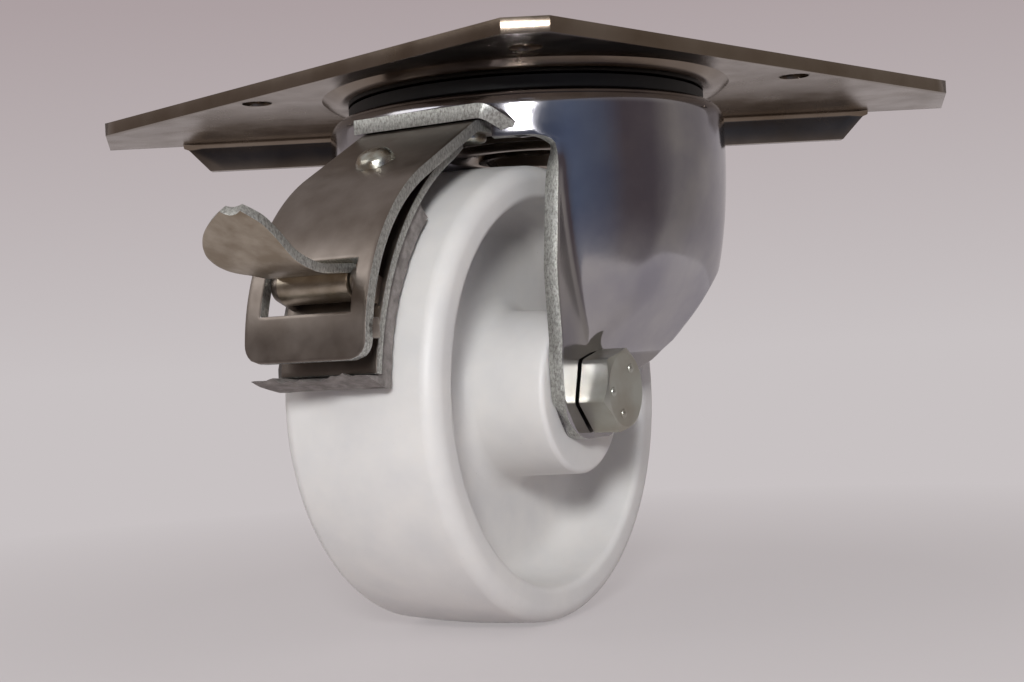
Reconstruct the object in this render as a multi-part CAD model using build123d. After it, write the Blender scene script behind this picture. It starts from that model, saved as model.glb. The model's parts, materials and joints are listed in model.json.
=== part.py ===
from build123d import *
import os
from math import asin, cos, pi, radians, sin, sqrt, tan

# Braked swivel castor with a triangular corner plate, in millimetres.
# The origin is on the swivel axis, on the plate's mounting face, with +Z up. The plate's flanged
# edge runs along X on the +Y side, and its blunt apex points to -Y.
# The swivel group is drawn straight, with the axle along X and the wheel trailing to -Y. Then it is
# turned to the angle at which it stands.
swivel_angle = -30.1

# Top plate
plate_sheet = 2.5
plate_apex_reach = 58.3
plate_apex_half = 3.8
plate_corner_x = 86.0
plate_heel_x = 91.0
plate_heel_y = 45.5
plate_corner_radius = 1.5
flange_depth = 8.4
flange_bend_half = 74.0
flange_tip_half = 68.5
flange_inner_radius = 1.2
flange_overlap = 1.0
screw_hole_radius = 2.75
far_hole_x = 50.0
far_hole_inset = 6.6
near_hole_inset = 11.8
dish_overhang = 0.4
dish_depth = 1.7
dish_slope = 2.2

# Swivel bearing
ball_radius = 2.38
ball_play = 0.04
race_radius = 2.5
race_depth = 1.2
upper_race_inset = 11.0
lower_race_circle = 13.5
upper_ball_count = 22
lower_ball_count = 12
kingpin_radius = 5.0
kingpin_shoulder_radius = 6.0
kingpin_head_radius = 9.0
kingpin_head_height = 1.3
kingpin_rivet_radius = 8.0
kingpin_rivet_height = 2.4
kingpin_rivet_brow_radius = 6.4
kingpin_rivet_brow_height = 1.7
kingpin_rivet_tip_radius = 3.6
press_gap = 0.02
crown_hole_play = 1.0
cup_thickness = 2.0
cup_radius = 18.0
kingpin_washer_radius = 9.5
kingpin_washer_thickness = 1.5

# Fork
sheet = 2.5
crown_radius = 37.0
crown_edge_radius = 3.4
crown_skirt = 8.5
fork_inner_half = 20.3
scoop_start_z = -20.0
scoop_end_z = -48.0
scoop_tilt = 0.25
trail = 20.0
wheel_room = 18.4
leg_front_u = 32.5
leg_front_top_u = 29.5
leg_front_z = -38.0
pad_radius = 8.6
pad_front_shift = 3.4
leg_rear_u = -27.0
leg_rear_z = -27.0
leg_rear_radius = 14.0
leg_rear_flare = 4.0
leg_front_bow = 18.0
leg_top_radius = 2.0
pad_low_radius = 8.4
pad_rear_shift = 1.5
pad_rear_radius = 8.0
scoop_overrun = 1.0
deck_inset = 6.0
shelf_overlap = 0.2
shelf_drop = 3.1
shelf_half = 12.9
shelf_front_u = 37.8
shelf_rear_u = 29.5
shelf_step = 2.4
shelf_upper_bend = 2.0
shelf_lower_bend = 1.0

# Dust ring
dust_ring_width = 4.0
dust_ring_inset = 3.6
dust_ring_play = 0.3

# Wheel
wheel_radius = 40.0
wheel_half_width = 15.0
tread_crown = 0.5
shoulder_run = 3.0
shoulder_drop = 2.6
shoulder_middle_run = 2.04
shoulder_middle_drop = 0.8
rim_edge_radius = 0.6
hub_edge_radius = 0.6
rim_height = 6.4
recess_draft = 1.6
recess_corner = 4.0
web_half = 4.0
hub_radius = 14.6
hub_draft = 0.5
hub_fillet = 2.5
hub_side_play = 0.5
running_play = 0.05

# Axle
bolt_radius = 4.0
bolt_hole_play = 0.1
across_flats = 13.0
bolt_head_height = 5.3
hexagon_chamfer_in = 0.2
hexagon_chamfer_angle = 30.0
bolt_tip_chamfer = 0.8
tube_radius = 6.0
nut_height = 6.0
nut_collar_height = 2.2
nut_collar_radius = 5.9
nut_collar_wall = 0.7
nut_collar_lip = 0.5
nut_insert_play = 0.02
bolt_stickout = 1.6

# Brake
cover_thickness = 2.0
cover_half = 11.5
cover_slope = 28.0
cover_bend_radius = 33.0
cover_top_bend = 4.0
cover_low_reach = 5.6
cover_low_rise = 7.2
cover_end_angle = 86.0
cover_corner_radius = 3.0
window_half = 8.5
window_above_pivot = 3.5
window_below_pivot = 4.5
window_corner = 0.8
cover_tab_rise = 6.2
cover_tab_reach = 2.2
cover_tab_thickness = 1.6
leaf_thickness = 1.5
leaf_cover_gap = 0.3
leaf_cover_room = 0.74
leaf_tail_run = 3.84
leaf_low_angle = 6.2
leaf_half = 9.2
ear_thickness = 1.5
ear_outer_half = 8.3
ear_radius = 2.3
pivot_angle = 22.4
pivot_reach = 3.8
pin_radius = 1.5
eye_radius = 2.9
eye_side_play = 0.2
lever_thickness = 1.5
lever_half = 8.2
lever_neck_run = 7.15
lever_rise_drop = 0.6
lever_rise_run = 13.15
lever_tip_run = 26.65
lever_tip_rise = 10.9
lever_bend_radius = 14.0
tread_gap = 1.0
pad_thickness = 3.5
pad_half = 11.0
pad_top_angle = 46.0
pad_end_angle = 3.6
pad_end_reach = 1.9
pad_end_gap = 0.25
brake_rivet_run = 8.34
rivet_dome_radius = 3.4
rivet_dome_height = 2.1
rivet_shank_radius = 2.0
rivet_tail_radius = 3.0
rivet_tail_height = 0.9
rivet_play = 0.2
rivet_tail_play = 0.3
mount_rivet_x = 7.0
mount_rivet_u = 32.6
mount_rivet_radius = 1.9
mount_rivet_head_radius = 3.1
mount_rivet_head_height = 1.2
mount_rivet_head_rounding = 0.7

# Places and sizes that follow from the others
far_hole_y = far_hole_x - plate_apex_half - plate_apex_reach + far_hole_inset
near_hole_y = near_hole_inset - plate_apex_reach
dish_radius = crown_radius + dish_overhang
upper_race_circle = crown_radius - upper_race_inset
deck_radius = crown_radius - deck_inset
crown_top_z = -(plate_sheet + dish_depth + 2 * (ball_radius + ball_play) - 2 * race_depth)
crown_under_z = crown_top_z - sheet
crown_skirt_z = crown_top_z - crown_skirt
fork_outer_half = fork_inner_half + sheet
dish_under_z = -(plate_sheet + dish_depth)
upper_ball_z = dish_under_z + race_depth - ball_play - ball_radius
lower_ball_z = crown_under_z + race_depth - ball_play - ball_radius
cup_top_z = lower_ball_z - ball_radius - ball_play + race_depth
cup_under_z = cup_top_z - cup_thickness
shelf_top_z = crown_top_z - shelf_drop
shelf_under_z = shelf_top_z - sheet
axle_z = -(wheel_radius + wheel_room)
cover_low_z = axle_z + cover_low_rise
recess_radius = wheel_radius - rim_height
bolt_hole_radius = bolt_radius + bolt_hole_play
tube_half = fork_inner_half
hub_half = fork_inner_half - hub_side_play
pad_inner_radius = wheel_radius + tread_gap
leaf_inner_radius = pad_inner_radius + pad_thickness
leaf_radius = leaf_inner_radius + leaf_thickness
pivot_radius = leaf_radius + pivot_reach
pivot_u = trail + pivot_radius * cos(radians(pivot_angle))
pivot_z = axle_z + pivot_radius * sin(radians(pivot_angle))
window_top_z = pivot_z + window_above_pivot
window_low_z = pivot_z - window_below_pivot
cover_low_u = trail + leaf_radius + cover_low_reach
lever_neck_u = pivot_u + lever_neck_run
lever_rise_u = pivot_u + lever_rise_run
lever_tip_u = pivot_u + lever_tip_run
lever_tip_z = pivot_z + lever_tip_rise

# The cover's straight slope runs beside the leaf, so its start follows from the leaf's radius.
slope_reach = leaf_radius + leaf_cover_room + cover_thickness
slope_sin, slope_cos = sin(radians(cover_slope)), cos(radians(cover_slope))
cover_flat_u = trail + (slope_reach - (shelf_under_z - axle_z) * slope_cos) / slope_sin
slope_start_run = (cover_flat_u - trail) * slope_cos - (shelf_under_z - axle_z) * slope_sin
brake_rivet_slide = brake_rivet_run - slope_start_run

# In the side view, u is the distance ahead of the swivel axis on the trailing side, and the second
# coordinate is the height.
SIDE = Plane(origin=(0, 0, 0), x_dir=(0, -1, 0), z_dir=(-1, 0, 0))


def turned(shape):
    """Turn a straight drawn piece of the swivel group to its standing angle."""
    return Rot(0, 0, swivel_angle) * shape


def spun(*points):
    """Turn a closed outline of (radius, height) points about the swivel axis."""
    outline = Polyline(*points, close=True)
    return revolve(Plane.XZ * make_face(outline.edges()), Axis.Z)


def side_prism(face, half):
    """Extrude a side view face equally to both sides of the middle plane."""
    return extrude(SIDE * face, half, both=True)


def along_axle(face):
    """Turn a face of (length along the axle, radius) about the axle."""
    section = Plane(origin=(0, -trail, axle_z), x_dir=(1, 0, 0), z_dir=(0, -1, 0)) * face
    return revolve(section, Axis((0, -trail, axle_z), (1, 0, 0)))


def axle_rod(radius, start, end, u=trail, z=axle_z):
    """Round rod along X between two places."""
    spot = Plane(origin=(start, -u, z), x_dir=(0, 1, 0), z_dir=(1, 0, 0))
    return extrude(spot * Circle(radius), end - start)


def strip_face(line, thickness, side):
    """Section of a bent sheet whose one surface follows the line."""
    return make_face(offset(line, amount=thickness, side=side).edges())


def bead(centre, surface_z, sign, radius=race_radius):
    """Points of a bead, pressed by race_depth into a surface, as (radius, height)."""
    half = sqrt(radius**2 - (radius - race_depth) ** 2)
    bottom = (centre, surface_z + sign * race_depth)
    return (centre - half, surface_z), bottom, (centre + half, surface_z)


def pressed_section(inner, outer, surface_z, beads, thickness_sign, thickness):
    """Section of a pressed disc with race grooves, all of one sheet thickness."""
    edges = []
    place = (inner, surface_z)
    for centre, sign in beads:
        groove_behind = sign * thickness_sign < 0
        radius = race_radius + thickness if groove_behind else race_radius
        start, middle, end = bead(centre, surface_z, sign, radius)
        edges.append(Line(place, start))
        edges.append(ThreePointArc(start, middle, end))
        place = end
    edges.append(Line(place, (outer, surface_z)))
    path = Wire([edge.edges()[0] for edge in edges])
    side = Side.LEFT if thickness_sign > 0 else Side.RIGHT
    return strip_face(path, thickness, side)


def top_plate():
    corner_y = plate_corner_x - plate_apex_half - plate_apex_reach
    outline = Polyline(
        (-plate_apex_half, -plate_apex_reach),
        (plate_apex_half, -plate_apex_reach),
        (plate_corner_x, corner_y),
        (plate_heel_x, plate_heel_y),
        (-plate_heel_x, plate_heel_y),
        (-plate_corner_x, corner_y),
        close=True,
    )
    plate = extrude(make_face(outline.edges()), -plate_sheet)
    plate = fillet(plate.edges().filter_by(Axis.Z), plate_corner_radius)
    plate -= Pos(0, 0, -plate_sheet) * extrude(Circle(dish_radius), plate_sheet)
    for x, y in ((far_hole_x, far_hole_y), (-far_hole_x, far_hole_y), (0, near_hole_y)):
        plate -= Pos(x, y, -plate_sheet) * extrude(Circle(screw_hole_radius), plate_sheet)
    return plate + dish() + flange()


def dish():
    """Pressed middle of the plate with its upper ball race."""
    floor_radius = dish_radius - dish_slope
    race = pressed_section(
        kingpin_radius + press_gap,
        floor_radius,
        dish_under_z,
        ((upper_race_circle, 1),),
        1,
        plate_sheet,
    )
    slope = Polyline(
        (floor_radius, dish_under_z),
        (dish_radius, -plate_sheet),
        (dish_radius, 0),
        (floor_radius, -dish_depth),
        close=True,
    )
    section = race + make_face(slope.edges())
    return revolve(Plane.XZ * section, Axis.Z)


def flange():
    """Downturned edge of the plate, with its slanted ends."""
    bend = flange_inner_radius + plate_sheet
    width = bend + flange_overlap
    path = FilletPolyline((0, 0), (width, 0), (width, -flange_depth), radius=bend)
    section = strip_face(path, plate_sheet, Side.RIGHT)
    start = (-flange_bend_half, plate_heel_y - width, 0)
    strip = extrude(Plane(start, x_dir=(0, 1, 0), z_dir=(1, 0, 0)) * section, 2 * flange_bend_half)
    slant = Polyline(
        (-flange_bend_half, 0),
        (-flange_bend_half, -plate_sheet),
        (-flange_tip_half, -flange_depth),
        (flange_tip_half, -flange_depth),
        (flange_bend_half, -plate_sheet),
        (flange_bend_half, 0),
        close=True,
    )
    trim = extrude(Plane.XZ.offset(-plate_heel_y) * make_face(slant.edges()), width)
    return strip & trim


def kingpin():
    shoulder_top = dish_under_z
    head_under = -dish_depth
    rivet_top = cup_under_z - kingpin_washer_thickness
    bore = kingpin_radius
    return spun(
        (0, head_under + kingpin_head_height),
        (kingpin_head_radius, head_under + kingpin_head_height),
        (kingpin_head_radius, head_under),
        (bore, head_under),
        (bore, shoulder_top),
        (kingpin_shoulder_radius, shoulder_top),
        (kingpin_shoulder_radius, cup_top_z),
        (bore, cup_top_z),
        (bore, rivet_top),
        (kingpin_rivet_radius, rivet_top),
        (kingpin_rivet_brow_radius, rivet_top - kingpin_rivet_brow_height),
        (kingpin_rivet_tip_radius, rivet_top - kingpin_rivet_height),
        (0, rivet_top - kingpin_rivet_height),
    )


def kingpin_washer():
    hole = kingpin_radius + press_gap
    return spun(
        (hole, cup_under_z),
        (kingpin_washer_radius, cup_under_z),
        (kingpin_washer_radius, cup_under_z - kingpin_washer_thickness),
        (hole, cup_under_z - kingpin_washer_thickness),
    )


def lower_race_cup():
    """Pressed lower race, with its groove facing up to the balls."""
    start, middle, end = bead(lower_race_circle, cup_top_z, -1)
    edges = [
        Line((kingpin_radius + press_gap, cup_top_z), start),
        ThreePointArc(start, middle, end),
        Line(end, (cup_radius, cup_top_z)),
    ]
    path = Wire([edge.edges()[0] for edge in edges])
    section = strip_face(path, cup_thickness, Side.RIGHT)
    return revolve(Plane.XZ * section, Axis.Z)


def ball_ring(circle, height, count):
    return [
        Pos(circle * cos(2 * pi * i / count), circle * sin(2 * pi * i / count), height)
        * Sphere(ball_radius)
        for i in range(count)
    ]


def dust_ring():
    outer = crown_radius - dust_ring_inset
    return spun(
        (outer - dust_ring_width, crown_top_z),
        (outer, crown_top_z),
        (outer, dish_under_z - dust_ring_play),
        (outer - dust_ring_width, dish_under_z - dust_ring_play),
    )


def crown_deck():
    """Flat top of the fork with its two ball races."""
    section = pressed_section(
        kingpin_shoulder_radius + crown_hole_play,
        deck_radius,
        crown_top_z,
        ((lower_race_circle, 1), (upper_race_circle, -1)),
        -1,
        sheet,
    )
    return revolve(Plane.XZ * section, Axis.Z)


def fork_envelope(inset):
    """Outer form of the drawn fork, or the hollow inside it when inset by the sheet."""
    low_z = axle_z - crown_radius
    radius = crown_radius - inset
    edge_radius = crown_edge_radius - inset
    section = FilletPolyline(
        (0, crown_top_z - inset),
        (radius, crown_top_z - inset),
        (radius, low_z),
        radius=[edge_radius],
    )
    closing = Polyline((radius, low_z), (0, low_z), (0, crown_top_z - inset))
    column = revolve(Plane.XZ * make_face([*section.edges(), *closing.edges()]), Axis.Z)
    front = Box(
        2 * (fork_outer_half - inset),
        leg_front_u + sheet + inset,
        crown_skirt_z - low_z,
        align=(Align.CENTER, Align.MAX, Align.MIN),
    )
    return (column + Pos(0, 0, low_z) * front) & scoop(inset)


def scoop(inset):
    """Front view form that narrows from the crown's width to the flat pads at the axle."""
    top_half = crown_radius + scoop_overrun
    step_in = (top_half - fork_outer_half) / 2
    step_down = (scoop_start_z - scoop_end_z) / 2
    middle = (top_half - step_in, scoop_start_z - step_down)
    arc_radius = (step_in**2 + step_down**2) / (2 * step_in)
    low_z = axle_z - 2 * crown_radius
    edges = []
    for side in (1, -1):
        top = (side * top_half, scoop_start_z)
        half_way = (side * middle[0], middle[1])
        end = (side * fork_outer_half, scoop_end_z)
        low = (side * fork_outer_half, low_z)
        edges.append(Line((side * top_half, trail), top))
        edges.append(RadiusArc(top, half_way, side * arc_radius))
        edges.append(RadiusArc(half_way, end, -side * arc_radius))
        edges.append(Line(end, low))
    edges.append(Line((top_half, trail), (-top_half, trail)))
    edges.append(Line((fork_outer_half, low_z), (-fork_outer_half, low_z)))
    outline = make_face([edge.edges()[0] for edge in edges])
    if inset:
        outline = offset(outline, amount=-inset)
    reach = 2 * crown_radius
    ahead = Vector(0, -1, scoop_tilt).normalized()
    start = Plane.XZ.offset(trail) * outline
    return extrude(start.moved(Location(ahead * -reach)), 2 * reach, dir=ahead)


def fork_outline():
    """Side view of the fork: skirt, straight front edges, pads at the axle, slanted rear edges."""
    pad_centre_u = trail + pad_front_shift
    wide = 2 * crown_radius
    path = FilletPolyline(
        (wide, crown_skirt_z),
        (leg_front_top_u, crown_skirt_z),
        (leg_front_u, leg_front_z),
        (pad_centre_u + pad_radius, axle_z - pad_radius),
        (trail - pad_rear_shift, axle_z - pad_radius),
        (leg_rear_u, leg_rear_z),
        (leg_rear_u - leg_rear_flare, crown_skirt_z),
        (-wide, crown_skirt_z),
        radius=[
            leg_top_radius,
            leg_front_bow,
            pad_low_radius,
            pad_rear_radius,
            leg_rear_radius,
            leg_top_radius,
        ],
    )
    closing = Polyline((-wide, crown_skirt_z), (-wide, 0), (wide, 0), (wide, crown_skirt_z))
    return make_face([*path.edges(), *closing.edges()])


def shelf():
    """Lip pushed down from the deck at the front, which holds the brake."""
    low = crown_skirt_z + sheet
    path = FilletPolyline(
        (-shelf_half, shelf_under_z),
        (shelf_half, shelf_under_z),
        (shelf_half + shelf_step, low - sheet),
        (shelf_half + 2 * shelf_step, low - sheet),
        radius=[shelf_upper_bend, shelf_lower_bend],
    )
    section = strip_face(path, sheet, Side.LEFT)
    lip = extrude(Plane.XZ.offset(shelf_rear_u) * section, shelf_front_u - shelf_rear_u)
    reach = Circle(crown_radius) + Pos(0, -shelf_front_u / 2) * Rectangle(
        2 * shelf_half, shelf_front_u
    )
    return lip & (Pos(0, 0, 2 * axle_z) * extrude(reach, -2 * axle_z))


def fork():
    shell = (fork_envelope(0) - fork_envelope(sheet)) & side_prism(fork_outline(), 2 * crown_radius)
    shell -= Pos(0, 0, crown_under_z) * extrude(Circle(deck_radius), 2 * sheet)
    gate = Box(
        2 * shelf_half,
        2 * crown_radius,
        2 * crown_skirt,
        align=(Align.CENTER, Align.MAX, Align.MAX),
    )
    shell -= Pos(0, -shelf_rear_u, shelf_top_z + shelf_overlap) * gate
    body = shell + crown_deck() + shelf()
    body -= axle_rod(bolt_hole_radius, -2 * crown_radius, 2 * crown_radius)
    for x in (-mount_rivet_x, mount_rivet_x):
        body -= Pos(x, -mount_rivet_u, shelf_under_z) * extrude(Circle(mount_rivet_radius), sheet)
    return body


def wheel():
    crown_run = wheel_half_width - shoulder_run
    shoulder_radius = wheel_radius - shoulder_drop
    right = [
        (wheel_half_width, shoulder_radius),
        (wheel_half_width, recess_radius),
        (web_half, recess_radius - recess_draft),
        (web_half, hub_radius),
        (hub_half, hub_radius - hub_draft),
        (hub_half, tube_radius + running_play),
    ]
    left = [(-x, y) for x, y in reversed(right)]
    radii = [0, rim_edge_radius, recess_corner, hub_fillet, hub_edge_radius, 0]
    inner = FilletPolyline(*right, *left, radius=radii[1:] + radii[-2::-1])
    knee = (crown_run, wheel_radius - tread_crown)
    knee_left = (-crown_run, wheel_radius - tread_crown)
    middle = (crown_run + shoulder_middle_run, wheel_radius - shoulder_middle_drop)
    edges = [
        ThreePointArc(right[0], middle, knee),
        ThreePointArc(knee, (0, wheel_radius), knee_left),
        ThreePointArc(knee_left, (-middle[0], middle[1]), left[-1]),
    ]
    face = make_face([*inner.edges(), *(edge.edges()[0] for edge in edges)])
    return along_axle(face)


def axle_tube():
    return axle_rod(tube_radius, -tube_half, tube_half) - axle_rod(
        bolt_radius + running_play, -tube_half, tube_half
    )


def hexagon(start, length, chamfered_end):
    """Hexagonal bar along the axle, with one end chamfered as a turned head is."""
    corner = across_flats / sqrt(3)
    spot = Plane(origin=(start, -trail, axle_z), x_dir=(0, 0, 1), z_dir=(1, 0, 0))
    bar = extrude(spot * RegularPolygon(corner, 6), length)
    cut = corner - across_flats / 2 + hexagon_chamfer_in
    end = start + length if chamfered_end > 0 else start
    back = start if chamfered_end > 0 else start + length
    slope = cut * tan(radians(hexagon_chamfer_angle))
    cone = Polyline(
        (back, 0),
        (back, corner),
        (end - chamfered_end * slope, corner),
        (end, corner - cut),
        (end, 0),
        close=True,
    )
    return bar & along_axle(make_face(cone.edges()))


def axle_bolt():
    nut_end = -(fork_outer_half + nut_height + nut_collar_height)
    head = hexagon(fork_outer_half, bolt_head_height, 1)
    shank = axle_rod(bolt_radius, nut_end - bolt_stickout, fork_outer_half)
    tip = shank.faces().sort_by(Axis.X)[0]
    return head + chamfer(tip.edges(), bolt_tip_chamfer)


def axle_nut():
    inner_end = -fork_outer_half
    body = hexagon(inner_end - nut_height, nut_height, -1)
    collar_start = inner_end - nut_height - nut_collar_height
    collar = axle_rod(nut_collar_radius, collar_start, inner_end - nut_height)
    pocket = axle_rod(
        nut_collar_radius - nut_collar_wall,
        collar_start + nut_collar_lip,
        inner_end - nut_height,
    )
    bore = axle_rod(bolt_radius + nut_insert_play, -2 * crown_radius, inner_end)
    return body + collar - pocket - bore


def nut_insert():
    start = -(fork_outer_half + nut_height)
    depth = nut_collar_height - nut_collar_lip
    ring = axle_rod(nut_collar_radius - nut_collar_wall - nut_insert_play, start - depth, start)
    return ring - axle_rod(bolt_radius + nut_insert_play, start - depth, start)


def cover_path():
    """Outer surface of the brake cover, from its flat end to its lower end."""
    start = (shelf_rear_u, shelf_under_z)
    knee = (cover_flat_u, shelf_under_z)
    slope = radians(cover_slope)
    end = radians(cover_end_angle)
    low = (cover_low_u, cover_low_z)
    du, dz = low[0] - knee[0], low[1] - knee[1]
    turn = sin(end - slope)
    run = (du * sin(end) + dz * cos(end)) / turn
    corner = (knee[0] + run * cos(slope), knee[1] - run * sin(slope))
    return FilletPolyline(
        start, knee, corner, low, radius=[cover_top_bend, cover_bend_radius]
    )


def on_slope(slide, depth):
    """Point below the cover's straight slope: slide along it, depth below its outer surface."""
    slope = radians(cover_slope)
    u = cover_flat_u + slide * cos(slope) - depth * sin(slope)
    z = shelf_under_z - slide * sin(slope) - depth * cos(slope)
    return u, z


def rivet_plane(depth):
    """Plane across the brake rivet at a depth below the cover's outer surface."""
    slope = radians(cover_slope)
    u, z = on_slope(brake_rivet_slide, depth)
    return Plane(origin=(0, -u, z), x_dir=(1, 0, 0), z_dir=(0, -sin(slope), cos(slope)))


def brake_cover():
    section = strip_face(cover_path(), cover_thickness, Side.RIGHT)
    strip = side_prism(section, cover_half)
    front = Plane(origin=(0, 0, 0), x_dir=(1, 0, 0), z_dir=(0, -1, 0))
    outline = RectangleRounded(2 * cover_half, -2 * cover_low_z, cover_corner_radius)
    strip &= extrude(front * outline, 2 * cover_low_u)
    for x in (-1, 1):
        inner = cover_low_u - cover_thickness - cover_tab_reach
        tab = Box(
            cover_tab_thickness,
            cover_tab_reach + cover_thickness / 2,
            cover_tab_rise - cover_corner_radius,
            align=(Align.MAX, Align.MAX, Align.MAX),
        )
        tab = Pos(cover_half, -inner, cover_low_z + cover_tab_rise) * tab
        strip += tab if x > 0 else mirror(tab, Plane.YZ)
    height = window_top_z - window_low_z
    hole = extrude(RectangleRounded(2 * window_half, height, window_corner), cover_low_u)
    place = Plane(
        origin=(0, -pivot_u, (window_top_z + window_low_z) / 2),
        x_dir=(1, 0, 0),
        z_dir=(0, -1, 0),
    )
    strip -= place * hole
    strip -= extrude(rivet_plane(cover_thickness) * Circle(rivet_shank_radius + press_gap), cover_thickness)
    for x in (-mount_rivet_x, mount_rivet_x):
        hole = extrude(Circle(mount_rivet_radius), -cover_thickness)
        strip -= Pos(x, -mount_rivet_u, shelf_under_z) * hole
    return strip


def around_wheel(radius, angle):
    """Point in the side view at a radius and an angle above the horizontal about the axle."""
    return trail + radius * cos(radians(angle)), axle_z + radius * sin(radians(angle))


def ring_section(inner, outer, low_angle, top_angle):
    """Side view sector of a ring about the axle."""
    middle = (low_angle + top_angle) / 2
    edges = [
        ThreePointArc(
            around_wheel(outer, low_angle), around_wheel(outer, middle), around_wheel(outer, top_angle)
        ),
        Line(around_wheel(outer, top_angle), around_wheel(inner, top_angle)),
        ThreePointArc(
            around_wheel(inner, top_angle), around_wheel(inner, middle), around_wheel(inner, low_angle)
        ),
        Line(around_wheel(inner, low_angle), around_wheel(outer, low_angle)),
    ]
    return make_face([edge.edges()[0] for edge in edges])


def brake_leaf():
    """Spring leaf: straight tail along the cover's slope, then round the wheel."""
    tail = on_slope(-leaf_tail_run - slope_start_run, cover_thickness + leaf_cover_gap)
    tangent_angle = 90 - cover_slope
    meet = around_wheel(leaf_radius, tangent_angle)
    path = Wire(
        [
            Line(tail, meet).edges()[0],
            ThreePointArc(
                meet,
                around_wheel(leaf_radius, (tangent_angle + leaf_low_angle) / 2),
                around_wheel(leaf_radius, leaf_low_angle),
            ).edges()[0],
        ]
    )
    strip = side_prism(strip_face(path, leaf_thickness, Side.RIGHT), leaf_half)
    ear_face = Pos(pivot_u, pivot_z) * Circle(ear_radius)
    root = Pos(*around_wheel((leaf_inner_radius + pivot_radius) / 2, pivot_angle)) * Rot(
        0, 0, pivot_angle
    ) * Rectangle(pivot_radius - leaf_inner_radius, 2 * ear_radius)
    ear = side_prism(ear_face + root, ear_outer_half)
    ear -= side_prism(ear_face + root, ear_outer_half - ear_thickness)
    strip += ear
    strip -= axle_rod(pin_radius + press_gap, -2 * leaf_half, 2 * leaf_half, pivot_u, pivot_z)
    hole = Circle(rivet_shank_radius + rivet_play)
    strip -= extrude(rivet_plane(0) * hole, -4 * cover_thickness)
    return strip


def brake_pad():
    """Rubber strip on the leaf, with an end block that hooks round the leaf's lower end."""
    strip = ring_section(pad_inner_radius, leaf_inner_radius, pad_end_angle, pad_top_angle)
    end = ring_section(
        pad_inner_radius, leaf_radius + pad_end_reach, pad_end_angle, leaf_low_angle - pad_end_gap
    )
    return side_prism(strip + end, pad_half)


def lever_section():
    """Side view of the lever's tongue, from the eye's top to the tip."""
    top_z = pivot_z + eye_radius
    path = FilletPolyline(
        (pivot_u, top_z),
        (lever_rise_u, top_z - lever_rise_drop),
        (lever_tip_u, lever_tip_z),
        radius=[lever_bend_radius],
    )
    return strip_face(path, lever_thickness, Side.RIGHT)


def brake_lever():
    eye_half = ear_outer_half - ear_thickness - eye_side_play
    eye = axle_rod(eye_radius, -eye_half, eye_half, pivot_u, pivot_z)
    tongue = side_prism(lever_section(), lever_half)
    round_u = lever_tip_u - lever_half
    plan = Pos(0, -pivot_u) * Rectangle(2 * eye_half, 2 * (lever_neck_u - pivot_u))
    plan += Pos(0, -round_u) * Circle(lever_half)
    blade = Polyline(
        (-eye_half, -lever_neck_u),
        (eye_half, -lever_neck_u),
        (lever_half, -round_u),
        (-lever_half, -round_u),
        close=True,
    )
    plan += make_face(blade.edges())
    tongue &= Pos(0, 0, 2 * axle_z) * extrude(plan, -2 * axle_z)
    bore = axle_rod(pin_radius + running_play, -lever_half, lever_half, pivot_u, pivot_z)
    return eye + tongue - bore


def lever_pin():
    return axle_rod(pin_radius, -ear_outer_half, ear_outer_half, pivot_u, pivot_z)


def brake_rivet():
    """Domed rivet that holds the cover and the leaf together."""
    sphere_radius = (rivet_dome_radius**2 + rivet_dome_height**2) / (2 * rivet_dome_height)
    dome = Pos(0, 0, rivet_dome_height - sphere_radius) * Sphere(sphere_radius)
    dome &= extrude(Circle(rivet_dome_radius), rivet_dome_height)
    depth, tilt = leaf_at_rivet()
    length = depth + leaf_thickness + rivet_tail_radius * tan(tilt) + rivet_tail_play
    shank = extrude(Circle(rivet_shank_radius), -length)
    tail = Pos(0, 0, -length - rivet_tail_height) * extrude(Circle(rivet_tail_radius), rivet_tail_height)
    return rivet_plane(0) * (dome + shank + tail)


def leaf_at_rivet():
    """Depth of the leaf below the cover's outer surface along the rivet, and its tilt there."""
    u, z = on_slope(brake_rivet_slide, 0)
    du, dz = u - trail, z - axle_z
    slope = radians(cover_slope)
    along = du * sin(slope) + dz * cos(slope)
    across = du * cos(slope) - dz * sin(slope)
    return along - sqrt(leaf_radius**2 - across**2), asin(across / leaf_radius)


def mount_rivets():
    rivets = []
    for x in (-mount_rivet_x, mount_rivet_x):
        shank = extrude(Circle(mount_rivet_radius - press_gap), sheet + cover_thickness)
        head = extrude(Circle(mount_rivet_head_radius), -mount_rivet_head_height)
        rivet = shank + fillet(head.edges().sort_by(Axis.Z)[0], mount_rivet_head_rounding)
        rivets.append(Pos(x, -mount_rivet_u, shelf_under_z - cover_thickness) * rivet)
    return rivets


def write(name, shape):
    """Write one piece, or a group of like pieces, under its name."""
    solids = shape if isinstance(shape, list) else [shape]
    solids = [solid for piece in solids for solid in piece.solids()]
    export_step(solids[0] if len(solids) == 1 else Compound(children=solids), f"parts/{name}.step")


still = {
    "top_plate": top_plate,
    "kingpin": kingpin,
    "kingpin_washer": kingpin_washer,
    "lower_race_cup": lower_race_cup,
}
swivelling = {
    "dust_ring": dust_ring,
    "fork": fork,
    "wheel": wheel,
    "axle_tube": axle_tube,
    "axle_bolt": axle_bolt,
    "axle_nut": axle_nut,
    "nut_insert": nut_insert,
    "brake_cover": brake_cover,
    "brake_leaf": brake_leaf,
    "brake_pad": brake_pad,
    "brake_lever": brake_lever,
    "lever_pin": lever_pin,
    "brake_rivet": brake_rivet,
}

os.makedirs("parts", exist_ok=True)
for name, make in still.items():
    write(name, make())
for name, make in swivelling.items():
    write(name, turned(make()))
write("mount_rivets", [turned(rivet) for rivet in mount_rivets()])
write("upper_balls", ball_ring(upper_race_circle, upper_ball_z, upper_ball_count))
write("lower_balls", ball_ring(lower_race_circle, lower_ball_z, lower_ball_count))
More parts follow.
